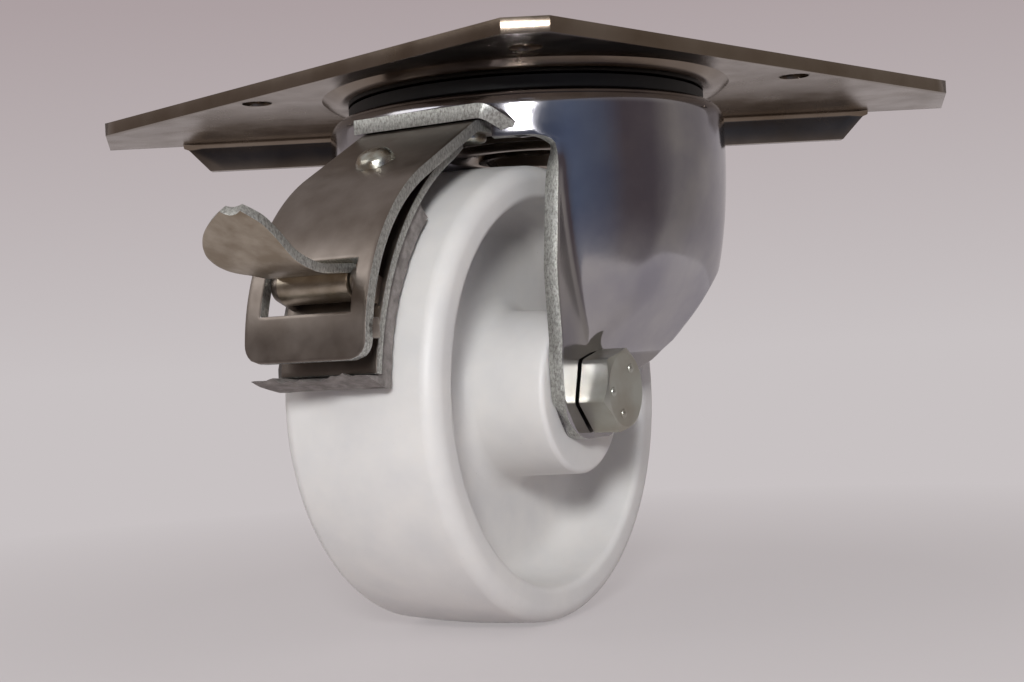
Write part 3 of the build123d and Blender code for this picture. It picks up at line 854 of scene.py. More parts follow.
class CASTOR_OT_fork(bpy.types.Operator):
    """Deep drawn fork: round crown with its skirt, lip for the brake and two legs"""

    bl_idname = "castor.fork"
    bl_label = "Fork"

    def execute(self, context):
        fork = sizes(context.scene.castor_fork)
        shell = self.drawn_shell(fork)
        body = shell.piece("fork_shell", 60)
        thickened(
            body, fork["sheet"], -1, "mirror_zinc_on_drawn_sheet", "sheared_zinc_edge", sharp=60
        )
        lip = self.lip(fork)
        hole = spun(
            [(0.001, -60), (4.1, -60), (4.1, 60), (0.001, 60)],
            about_axle, 48,
        ).piece("hole")
        cut(body, hole, sharp=60)
        rounded_edges(body, fork["edge"], 45)
        rounded_edges(lip, fork["edge"], 45)
        piece = joined("drawn_fork", 45, body, lip)
        dressed(piece, "fork", "zinc_mirror", "fork")
        return {"FINISHED"}

    def drawn_shell(self, fork):
        """Outer surface of the crown and legs, as one sheet."""
        crown = fork["crown_radius"]
        skirt = CROWN_TOP - CROWN_SKIRT
        near = leg_rows(fork, 64)
        leg_angles = [math.atan2(x, u) for x, u, z in near[0]]
        near[0] = [(crown * math.sin(a), crown * math.cos(a), skirt) for a in leg_angles]
        shelf_angle = math.asin(SHELF_HALF / crown)
        first, last = leg_angles[0], leg_angles[-1]
        gap = [shelf_angle + (first - shelf_angle) * k / 10 for k in range(10)]
        rear = [last + (2 * math.pi - 2 * last) * k / 26 for k in range(1, 26)]
        front = [-shelf_angle + 2 * shelf_angle * k / 24 for k in range(1, 24)]
        far = [2 * math.pi - a for a in reversed(leg_angles)]
        far_gap = [2 * math.pi - a for a in reversed(gap)]
        ring = gap + leg_angles + rear + far + far_gap + front
        profile = [(FORK_BORE, CROWN_TOP)]
        profile += bead(LOWER_RACE, CROWN_TOP, 1, RACE_RADIUS + fork["sheet"])
        profile += evenly([(17.5, CROWN_TOP), (23.0, CROWN_TOP)], 1.5)
        profile += bead(UPPER_RACE, CROWN_TOP, -1, RACE_RADIUS)
        profile += rounded(
            [(29.0, CROWN_TOP), (crown, CROWN_TOP), (crown, skirt)], [CROWN_EDGE]
        )[:-1]
        profile += evenly([(crown, CROWN_TOP - CROWN_EDGE), (crown, skirt)], 0.8)[1:]
        shell = Shell()
        rows = [
            shell.row([swivelled(r * math.sin(a), r * math.cos(a), z) for a in ring])
            for r, z in profile
        ]
        lip_top = SHELF_UNDER + fork["sheet"] - 0.25
        count = len(ring)
        open_from = count - len(front) - 1
        for (one, two), (r, z) in zip(zip(rows, rows[1:]), profile[1:]):
            for i in range(count):
                if z < lip_top and i >= open_from:
                    continue
                k = (i + 1) % count
                shell.faces.append((one[i], one[k], two[k], two[i]))
        for side in (1, -1):
            shell.grid([[swivelled(side * x, u, z) for x, u, z in row] for row in near])
        return shell

    def lip(self, fork):
        """Lip at the crown's front, which steps down to the skirt on both sides."""
        low = CROWN_TOP - CROWN_SKIRT
        path = evenly(rounded(
            [
                (-SHELF_HALF, SHELF_UNDER), (SHELF_HALF, SHELF_UNDER),
                (SHELF_HALF + SHELF_STEP, low), (SHELF_HALF + 2 * SHELF_STEP, low),
            ],
            [2.0, 1.0],
        ), 0.3)
        rows = []
        for k in range(17):
            row = []
            for x, z in path:
                free = SHELF_FRONT
                if x > SHELF_HALF - 0.5:
                    skin = math.sqrt((fork["crown_radius"] - 0.4) ** 2 - x**2)
                    free = skin + (SHELF_FRONT - skin) * smooth_step(
                        1 - (x - SHELF_HALF + 0.5) / 2.6
                    )
                row.append(swivelled(x, SHELF_REAR + (free - SHELF_REAR) * k / 16, z))
            rows.append(row)
        shell = Shell()
        shell.grid(rows)
        piece = shell.piece("lip", 60)
        upward = piece.data.polygons[0].normal.z > 0
        thickened(
            piece, fork["sheet"], 1 if upward else -1, "mirror_zinc_on_drawn_sheet",
            "sheared_zinc_edge", sharp=60,
        )
        return piece


# Wheel

TREAD_CROWN = 0.5
RECESS = 33.6
HUB = 14.6
WEB_HALF = 4.0
HUB_HALF = 19.8
TUBE = 6.05


def wheel_profile(wheel):
    """Closed profile of (length along the axle, radius)."""
    half, radius = wheel["half_width"], wheel["radius"]
    flat = half - 4.0
    drop = 0.8 * TREAD_CROWN
    right = rounded(
        [
            (flat, radius - drop), (half, radius - 1.6 * drop), (half, RECESS),
            (WEB_HALF, RECESS - 1.6), (WEB_HALF, HUB), (HUB_HALF, HUB - 0.5), (HUB_HALF, TUBE),
        ],
        [3.0, 1.3, 4.5, 3.0, 0.9], 0.25,
    )
    across = [flat - flat * k / 14 for k in range(15)]
    tread = [(x, radius - drop * (x / flat) ** 2) for x in across]
    line = spaced(list(reversed(right))[:-1] + tread, 1.3)
    return line + [(-x, r) for x, r in reversed(line[:-1])]


def spaced(line, step):
    """Divide the long straight runs of a line."""
    result = [line[0]]
    for one, two in zip(line, line[1:]):
        result += evenly([one, two], step)[1:]
    return result


class CASTOR_OT_wheel(bpy.types.Operator):
    """Moulded wheel with a crowned tread, a deep recess and a hub on each side"""

    bl_idname = "castor.wheel"
    bl_label = "Wheel"

    def execute(self, context):
        wheel = sizes(context.scene.castor_wheel)
        profile = [(r, x) for x, r in wheel_profile(wheel)]
        shell = spun(profile, about_axle, 240)
        piece = shell.piece("moulded_wheel", 50)
        dressed(
            piece, "wheel", "white_nylon", "wheel",
            materials=[finish_of("moulded_white_nylon")],
        )
        return {"FINISHED"}


# Brake

COVER_SLOPE = 28.0
COVER_KNEE = (37.0, SHELF_UNDER)
COVER_LOW = (71.6, -51.2)
COVER_END = 86.0
COVER_CORNER = 3.0
TAB_SHEET = 1.6
TAB_INWARD = 2.2
TAB_OUTWARD = 1.0
TAB_LOW = -48.2
TAB_TOP = -45.0
WINDOW_HALF = 8.5
WINDOW_TOP = PIVOT_Z + 3.5
WINDOW_LOW = PIVOT_Z - 4.5
LEAF_RADIUS = 46.0
LEAF_HALF = 9.2
LEAF_LOW_ANGLE = 6.2
LEAF_TAIL_U = 39.5
LEAF_GAP = 0.3
PAD_INNER = 41.0
PAD_HALF = 9.75
PAD_SHIFT = -1.25
PAD_LOW_ANGLE = 3.6
PAD_TOP_ANGLE = 46.0
PAD_END_REACH = (43.6, 45.6, 47.6, 49.4)
EAR_HALF = 8.3
EAR_SHEET = 1.5
EAR_RADIUS = 2.3
EAR_SUNK = 0.7
EYE_RADIUS = 2.9
PIN_RADIUS = 1.5
RIVET_SLIDE = 15.0
LEVER_RISE_RUN = 13.15
LEVER_TIP_RUN = 25.8
LEVER_TIP_RISE = 10.4


def cover_path():
    """Outer surface of the cover in the side view, from its flat end to its low end."""
    slope, end = math.radians(COVER_SLOPE), math.radians(COVER_END)
    du, dz = COVER_LOW[0] - COVER_KNEE[0], COVER_LOW[1] - COVER_KNEE[1]
    run = (du * math.sin(end) + dz * math.cos(end)) / math.sin(end - slope)
    corner = (COVER_KNEE[0] + run * math.cos(slope), COVER_KNEE[1] - run * math.sin(slope))
    return rounded([(SHELF_REAR, SHELF_UNDER), COVER_KNEE, corner, COVER_LOW], [4.0, 33.0], 0.3)


def with_marks(points, marks, step):
    """Even points along a line that also pass the given heights."""
    lengths = lengths_along(points)
    stops = [0.0]
    for z in marks:
        for i, (a, b) in enumerate(zip(points, points[1:])):
            if b[1] <= z < a[1]:
                span = lengths[i + 1] - lengths[i]
                stops.append(lengths[i] + span * (a[1] - z) / (a[1] - b[1]))
    stops.append(lengths[-1])
    wanted = [0.0]
    for one, two in zip(stops, stops[1:]):
        count = max(1, round((two - one) / step))
        wanted += [one + (two - one) * k / count for k in range(1, count + 1)]
    return at_lengths(points, lengths, wanted), wanted, lengths[-1]


def on_slope(slide, depth):
    slope = math.radians(COVER_SLOPE)
    return (
        COVER_KNEE[0] + slide * math.cos(slope) - depth * math.sin(slope),
        COVER_KNEE[1] - slide * math.sin(slope) - depth * math.cos(slope),
    )


def about_wheel(radius, degrees):
    """Point in the side view at a radius and an angle above the horizontal about the axle."""
    return (
        AXLE_U + radius * math.cos(math.radians(degrees)),
        AXLE_Z + radius * math.sin(math.radians(degrees)),
    )


def box_piece(name, low, high):
    corners = ((low[0], low[1]), (high[0], low[1]), (high[0], high[1]), (low[0], high[1]))
    shell = Shell()
    shell.prism([[swivelled(x, u, z) for x, u in corners] for z in (low[2], high[2])])
    return shell.piece(name)


def toward_axle(piece):
    """Solidify offset that thickens a sheet towards the axle."""
    face = piece.data.polygons[len(piece.data.polygons) // 2]
    return -1 if face.normal.dot(face.center - swivelled(0, AXLE_U, AXLE_Z)) > 0 else 1


class CASTOR_OT_brake_cover(bpy.types.Operator):
    """Bent cover strip with its window and side tabs"""

    bl_idname = "castor.brake_cover"
    bl_label = "Brake cover"

    def execute(self, context):
        brake = sizes(context.scene.castor_brake)
        half = brake["cover_half"]
        path, places, whole = with_marks(cover_path(), (WINDOW_TOP, WINDOW_LOW), 0.6)
        columns = [-1 + 2 * k / 28 for k in range(29)]
        mark = WINDOW_HALF / half
        near = min(range(29), key=lambda k: abs(columns[k] - mark))
        columns[near], columns[28 - near] = mark, -mark
        shell = Shell()
        rows = []
        for (u, z), place in zip(path, places):
            left = whole - place
            width = half
            if left < COVER_CORNER:
                width = half - COVER_CORNER + math.sqrt(
                    max(0.0, COVER_CORNER**2 - (COVER_CORNER - left) ** 2)
                )
            rows.append(shell.row([swivelled(c * width, u, z) for c in columns]))
        for i, (one, two) in enumerate(zip(rows, rows[1:])):
            middle = (path[i][1] + path[i + 1][1]) / 2
            for k in range(28):
                open_row = WINDOW_LOW < middle < WINDOW_TOP and path[i][0] > 50
                if open_row and 28 - near <= k < near:
                    continue
                shell.faces.append((one[k], one[k + 1], two[k + 1], two[k]))
        strip = shell.piece("cover_strip")
        thickened(
            strip, brake["cover_sheet"], toward_axle(strip), "satin_zinc_on_bent_strip",
            "sheared_zinc_edge", edge=0.3,
        )
        parts = [strip]
        inner = COVER_LOW[0] - brake["cover_sheet"]
        for side in (-1, 1):
            left, right = sorted((side * (half - TAB_SHEET), side * half))
            tab = box_piece(
                "tab", (left, inner - TAB_INWARD, TAB_LOW), (right, inner + TAB_OUTWARD, TAB_TOP)
            )
            tab.data.materials.append(finish_of("satin_zinc_on_bent_strip"))
            parts.append(rounded_edges(tab, 0.3))
        piece = joined("cover_with_window", 40, *parts)
        dressed(piece, "fork", "zinc_satin", "brake_cover")
        return {"FINISHED"}


class CASTOR_OT_brake_leaf(bpy.types.Operator):
    """Spring leaf with the two ears that hold the lever"""

    bl_idname = "castor.brake_leaf"
    bl_label = "Brake leaf"

    def execute(self, context):
        brake = sizes(context.scene.castor_brake)
        slide = (LEAF_TAIL_U - COVER_KNEE[0]) / math.cos(math.radians(COVER_SLOPE))
        tail = on_slope(slide, brake["cover_sheet"] + LEAF_GAP)
        path = [tail] + arc((AXLE_U, AXLE_Z), LEAF_RADIUS, 90 - COVER_SLOPE, LEAF_LOW_ANGLE)
        path = evenly(path, 0.8)
        shell = Shell()
        shell.grid([
            [swivelled(-LEAF_HALF + 2 * LEAF_HALF * k / 12, u, z) for k in range(13)]
            for u, z in path
        ])
        strip = shell.piece("leaf_strip")
        thickened(
            strip, brake["leaf_sheet"], toward_axle(strip), "satin_zinc_on_bent_strip",
            "sheared_zinc_edge", edge=0.25,
        )
        parts = [strip, self.ear(1), self.ear(-1)]
        for part in parts[1:]:
            part.data.materials.append(finish_of("satin_zinc_on_bent_strip"))
        piece = joined("leaf_with_ears", 40, *parts)
        dressed(piece, "brake", "zinc_satin", "brake_leaf")
        return {"FINISHED"}

    def ear(self, side):
        """Flat ear that stands on the leaf and is rounded about the lever's pin."""
        angle = math.degrees(math.atan2(PIVOT_Z - AXLE_Z, PIVOT_U - AXLE_U))
        foot = Vector(about_wheel(LEAF_RADIUS - EAR_SUNK, angle))
        wide = Vector((-math.sin(math.radians(angle)), math.cos(math.radians(angle)))) * EAR_RADIUS
        round_end = arc((PIVOT_U, PIVOT_Z), EAR_RADIUS, angle - 90, angle + 90, 0.3)
        outline = [tuple(foot - wide)] + round_end + [tuple(foot + wide)]
        sides = (side * (EAR_HALF - EAR_SHEET), side * EAR_HALF)
        shell = Shell()
        shell.prism([[swivelled(x, u, z) for u, z in outline] for x in sides])
        return rounded_edges(shell.piece("ear"), 0.2)


class CASTOR_OT_brake_pad(bpy.types.Operator):
    """Rubber pad with a torn end block that hooks round the leaf"""

    bl_idname = "castor.brake_pad"
    bl_label = "Brake pad"

    def execute(self, context):
        brake = sizes(context.scene.castor_brake)
        leaf_inner = LEAF_RADIUS - brake["leaf_sheet"]
        low, high = PAD_LOW_ANGLE, PAD_TOP_ANGLE
        angles = [low + (LEAF_LOW_ANGLE - 0.25 - low) * k / 4 for k in range(5)]
        step = math.degrees(0.8 / PAD_INNER)
        count = round((high - angles[-1]) / step)
        angles += [angles[-1] + (high - angles[-1]) * k / count for k in range(1, count + 1)]
        shell = Shell()
        rings = []
        width = 30
        for i, angle in enumerate(angles):
            outer = PAD_END_REACH[i] if i < 4 else leaf_inner
            across = [-PAD_HALF + 2 * PAD_HALF * k / width for k in range(width + 1)]
            outline = [(x, PAD_INNER) for x in across]
            outline += [(PAD_HALF, PAD_INNER + (outer - PAD_INNER) * k / 6) for k in range(1, 6)]
            outline += [(-x, outer) for x in across]
            outline += [(-PAD_HALF, outer + (PAD_INNER - outer) * k / 6) for k in range(1, 6)]
            rings.append(shell.row([self.torn(x, r, angle, i, brake["tear"]) for x, r in outline]))
        for one, two in zip(rings, rings[1:]):
            shell.join(one, two, closed=True)
        self.closing(shell, rings[0], width)
        self.closing(shell, rings[-1], width)
        piece = shell.piece("torn_rubber_pad", 50)
        dressed(
            piece, "brake", "brake_rubber", "brake_pad",
            materials=[finish_of("moulded_grey_rubber")],
        )
        return {"FINISHED"}

    def closing(self, shell, ring, width):
        """Quads across the end between the inner and the outer line."""
        right = ring[width + 1 : width + 6]
        outer = list(reversed(ring[width + 6 : 2 * width + 7]))
        left = list(reversed(ring[2 * width + 7 :]))
        rows = [ring[: width + 1]]
        for k in range(5):
            a, b = shell.points[left[k]], shell.points[right[k]]
            middle = [a.lerp(b, j / width) for j in range(1, width)]
            rows.append([left[k]] + shell.row(middle) + [right[k]])
        rows.append(outer)
        for one, two in zip(rows, rows[1:]):
            shell.join(one, two)

    def torn(self, x, radius, angle, i, tear):
        """Point of the pad, roughened where the end block was torn."""
        u, z = about_wheel(radius, angle)
        if i < 4 and radius > 43:
            lean = (radius - 41) / 8.4
            spot = Vector((x * 0.33, radius * 1.1, 3.7))
            ragged = noise.noise(spot) + 0.5 * noise.noise(spot * 2.3) + 0.3 * noise.noise(spot * 6)
            z += tear * ragged * (0.15 + (i == 3)) + 0.4 * lean * x / PAD_HALF
            u += tear * 0.3 * noise.noise(spot * 1.7 + Vector((9, 0, 0)))
            u -= 1.6 * lean * x / PAD_HALF
        elif abs(x) > PAD_HALF - 0.1:
            spot = Vector((u * 0.7, z * 0.7, x))
            x += 0.16 * noise.noise(spot) - 0.1 * (x > 0) + 0.1 * (x < 0)
        return swivelled(x + PAD_SHIFT, u, z)


class CASTOR_OT_brake_lever(bpy.types.Operator):
    """Thumb lever with a rounded tongue and a rolled eye"""

    bl_idname = "castor.brake_lever"
    bl_label = "Brake lever"

    def execute(self, context):
        brake = sizes(context.scene.castor_brake)
        sheet = brake["lever_sheet"]
        top = PIVOT_Z + EYE_RADIUS
        rise_u = PIVOT_U + LEVER_RISE_RUN
        tip = (PIVOT_U + LEVER_TIP_RUN, PIVOT_Z + LEVER_TIP_RISE)
        line = rounded([(PIVOT_U, top), (rise_u, top - 0.6), tip], [14.0], 0.3)
        path = evenly(line, 0.5)
        eye_half = EAR_HALF - EAR_SHEET - 0.2
        columns = 24
        edges = [self.edges(u - PIVOT_U, eye_half) for u, z in path]
        for _ in range(3):
            middle = [
                tuple((a + 2 * b + c) / 4 for a, b, c in zip(*trio))
                for trio in zip(edges, edges[1:], edges[2:])
            ]
            edges = [edges[0]] + middle + [edges[-1]]
        rows = []
        for (u, z), (left, right) in zip(path, edges):
            row = []
            for k in range(columns + 1):
                v = k / columns
                dish = 2.0 * v * (1 - v) * smooth_step((u - rise_u) / 8)
                row.append(swivelled(left + v * (right - left), u, z - dish * 0.6))
            rows.append(row)
        shell = Shell()
        shell.grid(rows)
        tongue = shell.piece("tongue")
        upward = tongue.data.polygons[0].normal.z > 0
        thickened(
            tongue, sheet, -1 if upward else 1, "zinc_on_pressed_lever", "sheared_zinc_edge",
            edge=0.45,
        )
        roll = self.rolled_eye(eye_half, sheet)
        roll.data.materials.append(finish_of("zinc_on_pressed_lever"))
        piece = joined("thumb_lever", 40, tongue, roll)
        dressed(piece, "lever", "zinc_satin", "brake_lever")
        return {"FINISHED"}

    def edges(self, run, eye_half):
        """Left and right edge of the tongue at a run from the pivot: eye, neck and blade."""
        left = (
            (0.0, -eye_half), (3.0, -eye_half), (8.5, -3.6), (12.0, -2.9), (14.0, -5.4),
            (16.0, -6.4), (18.0, -6.5), (20.0, -5.3), (21.9, -3.5), (23.5, -1.3), (24.8, 1.2),
            (25.5, 3.0), (LEVER_TIP_RUN, 3.6),
        )
        right = (
            (0.0, eye_half), (5.0, eye_half + 0.3), (9.0, 7.8), (13.0, 8.2), (16.4, 7.9),
            (20.4, 8.3), (23.0, 8.3), (24.4, 7.7), (25.3, 6.9),
            (LEVER_TIP_RUN, 6.5),
        )
        return self.along(left, run), self.along(right, run)

    def along(self, table, run):
        for (r1, v1), (r2, v2) in zip(table, table[1:]):
            if run <= r2:
                return v1 + (v2 - v1) * (run - r1) / (r2 - r1)
        return table[-1][1]

    def rolled_eye(self, half, sheet):
        """Sheet rolled round the pin, with a seam under the tongue."""
        shell = Shell()
        outer, inner = EYE_RADIUS, PIN_RADIUS + 0.05
        profile = arc((PIVOT_U, PIVOT_Z), outer, 90, 410, 0.3)
        core = arc((PIVOT_U, PIVOT_Z), inner, 410, 90, 0.3)
        outline = profile + core
        rows = [shell.row([swivelled(x, u, z) for u, z in outline]) for x in (-half, half)]
        shell.join(rows[0], rows[1], closed=True)
        count = len(profile)
        for row in rows:
            back = list(reversed(row[count:]))
            for k in range(count - 1):
                a = round(k * (len(back) - 1) / (count - 1))
                b = round((k + 1) * (len(back) - 1) / (count - 1))
                if a == b:
                    shell.faces.append((row[k], row[k + 1], back[a]))
                else:
                    shell.faces.append((row[k], row[k + 1], back[b], back[a]))
        return shell.piece("eye")


class CASTOR_OT_brake_rivet(bpy.types.Operator):
    """Domed rivet that holds the cover and the leaf"""

    bl_idname = "castor.brake_rivet"
    bl_label = "Brake rivet"

    def execute(self, context):
        slope = math.radians(COVER_SLOPE)
        u0, z0 = on_slope(RIVET_SLIDE, 0)

        def place(a, b, height):
            return swivelled(
                a,
                u0 + b * math.cos(slope) + height * math.sin(slope),
                z0 - b * math.sin(slope) + height * math.cos(slope),
            )

        dome = rounded([(0.001, 2.1), (1.7, 2.05), (3.0, 1.25), (3.4, 0.02)], [4.0, 2.0], 0.2)
        profile = dome + [(2.0, 0.0), (2.0, -3.9), (3.0, -3.9), (3.0, -4.75), (0.001, -4.75)]
        shell = spun(profile, place, 48)
        piece = shell.piece("domed_rivet", 50)
        for vertex in piece.data.vertices:
            spot = vertex.co / MM
            vertex.co += vertex.normal * noise.noise(spot * 1.1) * 0.025 * MM
        dressed(
            piece, "fork", "zinc_satin", "brake_rivet",
            materials=[finish_of("rubbed_zinc_rivet")],
        )
        return {"FINISHED"}


# Axle

BOLT_RADIUS = 4.0
ACROSS_FLATS = 13.0
HEAD_HEIGHT = 5.3
NUT_HEIGHT = 6.0
COLLAR_HEIGHT = 2.2
COLLAR_RADIUS = 5.9
BOLT_STICKOUT = 1.6
PITCH = 1.25
HEAD_TURN = math.radians(46)
HEAD_PIPS = ((-2.1, 3.5), (4.6, -0.2), (1.2, -4.0))


def hexagon_piece(name, back, face, bore):
    """Hexagonal body with its corners turned off at its outer face."""
    flat = ACROSS_FLATS / 2
    corner = flat / math.cos(math.pi / 6)
    inner = flat - 0.25
    toward = 1 if face > back else -1
    around = 120
    rows = [[], [], [], [], []]
    for k in range(around):
        turn = 2 * math.pi * k / around
        side = (turn % (math.pi / 3)) - math.pi / 6
        reach = soft_min(flat / math.cos(side), corner - 0.1, 0.35)
        drop = (reach - inner) * math.tan(math.radians(30))
        c, s = math.cos(turn + HEAD_TURN), math.sin(turn + HEAD_TURN)
        places = (
            (bore, face), (inner, face), (reach, face - toward * drop), (reach, back), (bore, back)
        )
        for row, (radius, along) in zip(rows, places):
            row.append(about_axle(radius * c, radius * s, along))
    shell = Shell()
    shell.ring(rows)
    return shell.piece(name, 25)


def threaded_rod(name, start, end):
    """Thread of the bolt, drawn as a helix with its real pitch, with a chamfered tip."""
    shell = Shell()
    around = 36
    depth = 0.61 * PITCH
    turns = (end - start) / PITCH
    per_turn = 8
    rows = []
    for i in range(int(turns * per_turn) + 1):
        row = []
        for k in range(around + 1):
            share_of_turn = k / around
            along = start + PITCH * (i / per_turn)
            phase = (i / per_turn - share_of_turn) % 1.0
            ridge = min(1.0, max(0.0, 2.6 * abs(phase - 0.5) - 0.15))
            radius = BOLT_RADIUS - depth * ridge
            taper = min(along - start, 1.2)
            radius = min(radius, BOLT_RADIUS - 0.9 + 0.75 * taper)
            angle = 2 * math.pi * share_of_turn
            row.append(about_axle(radius * math.cos(angle), radius * math.sin(angle), along))
        rows.append(row)
    ids = shell.grid(rows)
    shell.cap(ids[0][:-1])
    shell.cap(ids[-1][:-1])
    return shell.piece(name, 30)


class CASTOR_OT_axle_bolt(bpy.types.Operator):
    """Hexagon bolt and locking nut of the axle"""

    bl_idname = "castor.axle_bolt"
    bl_label = "Axle bolt and nut"

    def execute(self, context):
        fork = sizes(context.scene.castor_fork)
        face = fork["half_width"]
        zinc = finish_of("zinc_on_forged_bolt")
        head = hexagon_piece("head", face, face + HEAD_HEIGHT, 0.001)
        shank = spun(
            [(0.001, -face), (BOLT_RADIUS, -face), (BOLT_RADIUS, face), (0.001, face)],
            about_axle, 48,
        ).piece("shank")
        tip = -(face + NUT_HEIGHT + COLLAR_HEIGHT + BOLT_STICKOUT)
        thread = threaded_rod("thread", tip, -face)
        parts = [head, shank, thread]
        for a, b in HEAD_PIPS:
            parts.append(self.pip(a, b, face + HEAD_HEIGHT))
        for part in parts:
            part.data.materials.append(zinc)
        bolt = joined("hexagon_bolt", 25, *parts)
        dressed(bolt, "fork", "zinc_yellow", "axle_bolt")
        body = hexagon_piece("body", -face, -face - NUT_HEIGHT, BOLT_RADIUS + 0.02)
        start = -face - NUT_HEIGHT
        low = start - COLLAR_HEIGHT
        collar = spun(
            [
                (COLLAR_RADIUS, start + 0.4), (COLLAR_RADIUS, low + 0.6),
                (COLLAR_RADIUS - 0.2, low + 0.15), (COLLAR_RADIUS - 0.6, low),
                (BOLT_RADIUS + 0.1, low), (BOLT_RADIUS + 0.1, low + 0.5),
                (COLLAR_RADIUS - 0.7, low + 0.5), (COLLAR_RADIUS - 0.7, start + 0.4),
            ],
            about_axle, 64,
        ).piece("collar")
        for part in (body, collar):
            part.data.materials.append(zinc)
        nut = joined("locking_nut", 25, body, collar)
        dressed(nut, "fork", "zinc_yellow", "axle_nut")
        return {"FINISHED"}

    def pip(self, a, b, face):
        """Small raised round mark on the head."""
        return spun(
            [(0.001, 0.42), (0.4, 0.37), (0.75, 0.16), (0.9, -0.1), (0.001, -0.1)],
            lambda x, y, h: about_axle(a + x, b + y, face + h), 20,
        ).piece("pip", 60)


class CASTOR_OT_carried_nodes(bpy.types.Operator):
    """Materials of the CAD pieces that are shown as they are"""

    bl_idname = "castor.carried_nodes"
    bl_label = "Bearing and small pieces"

    FINISHES = {
        "kingpin": "bright_zinc_with_painted_shade",
        "kingpin_washer": "bright_zinc_with_painted_shade",
        "lower_race_cup": "bright_zinc_with_painted_shade",
        "upper_balls": "polished_bearing_steel",
        "lower_balls": "polished_bearing_steel",
        "axle_tube": "bright_drawn_steel",
        "lever_pin": "bright_drawn_steel",
        "nut_insert": "natural_nylon_insert",
        "dust_ring": "black_plastic_and_painted_gap_shade",
        "mount_rivets": "rubbed_zinc_rivet",
    }

    def execute(self, context):
        for name, finish in self.FINISHES.items():
            node = frame["nodes"][name]
            for slot in node.material_slots:
                slot.material = finish_of(finish)
        return {"FINISHED"}


class CASTOR_OT_finishes(bpy.types.Operator):
    """Materials of all the pieces"""

    bl_idname = "castor.finishes"
    bl_label = "Finishes"

    def execute(self, context):
        look = context.scene.castor_finish
        # Bright zinc plating on pressed sheet: a soft mirror, whose brownish base colour and darker
        # brown patches are painted shade, the reflection of the shadowed surface under the plate.
        plated(
            "bright_zinc_with_painted_shade", look.plate, look.plate_tint_painted_shade, 0.14, 0.28, 16, 0.8, EVEN,
            0.004, 22, 0.05,
        )
        # Bright zinc plating on deep drawn sheet: a clearer, slightly wavy mirror with haze.
        plated(
            "mirror_zinc_on_drawn_sheet", look.mirror, look.mirror_tint, 0.07, 0.17, 14, 0.7,
            (1, 1, 0.4), 0.004, 9, 0.03,
        )
        # Zinc plating on ground strip: dark satin, with a fine grain along the strip.
        plated(
            "satin_zinc_on_bent_strip", look.satin, look.satin_tint, 0.34, 0.44, 7, 0.35,
            (1, 1, 0.2), 0.01,
        )
        # Zinc plating on a cold forged bolt: a pale, even satin.
        plated("zinc_on_forged_bolt", look.bolt, look.bolt_tint, 0.32, 0.42, 9, 0.6, EVEN, 0.01)
        # Zinc plating on a pressed and tumbled lever: warm grey satin with soft patches.
        plated("zinc_on_pressed_lever", look.lever, look.lever_tint, 0.3, 0.42, 4, 0.5, EVEN, 0.02)
        # Zinc plating rubbed by the riveting tool: a brownish dome with a bright spot.
        plated("rubbed_zinc_rivet", look.lever_tint, look.bolt, 0.22, 0.4, 2.0, 0.5, EVEN, 0.03)
        # Bright drawn steel of pin and tube: an even, soft mirror.
        plated("bright_drawn_steel", look.bolt, look.mirror, 0.2, 0.3, 5, 0.5, EVEN, 0.004)
        # Ground and polished bearing steel: near mirrors.
        plated("polished_bearing_steel", look.mirror, look.mirror, 0.05, 0.08, 4, 0.5, EVEN, 0.0)
        # Sheared steel under the zinc: speckled, because its tears scatter the light.
        sheared("sheared_zinc_edge", look.edge, look.edge_dark)
        # Injection moulded nylon: satin white, faintly clouded, with light in its skin.
        moulded_nylon("moulded_white_nylon", look.nylon, look.nylon_shade, look.nylon_dirt)
        # Natural nylon ring of the locking nut: the same satin, a little greyer.
        moulded_nylon("natural_nylon_insert", look.nylon_shade, look.nylon, look.nylon_dirt)
        # Moulded rubber, torn at its end: matt grey with rubbed patches.
        rubber("moulded_grey_rubber", look.rubber, look.rubber_worn, 0.75, 0.6, 0.15)
        # Injection moulded black plastic of the dust ring: dark satin, whose near black also paints
        # the shade in the gap between the plate and the crown.
        rubber("black_plastic_and_painted_gap_shade", linear("#0b0b0b"), linear("#151414"), 0.5, 1.5, 0.02)
        return {"FINISHED"}


# Colours of the room by the angle from the camera's side, which the metal mirrors.
ROOM_WALLS = (
    (-180, "#c4bcbd"), (-110, "#a39a98"), (-75, "#6e6562"), (-35, "#4a4342"), (-5, "#434858"),
    (22, "#6e7a93"), (42, "#6a6f80"), (55, "#665c5f"), (74, "#6b6265"), (92, "#9e9793"),
    (115, "#a39c98"), (140, "#c0b9ba"), (180, "#c4bcbd"),
)
CEILING = "#b3adab"
# Radii of the floor's rings, in metres.
FLOOR_RINGS = (0.05, 0.1, 0.15, 0.2, 0.25)
# Camera of the photograph, from its perspective: place in mm, and angles in radians.
CAMERA_PLACE = (-2.709, -302.557, -52.22)
CAMERA_YAW, CAMERA_PITCH, CAMERA_ROLL = -0.007, 0.011, -0.05


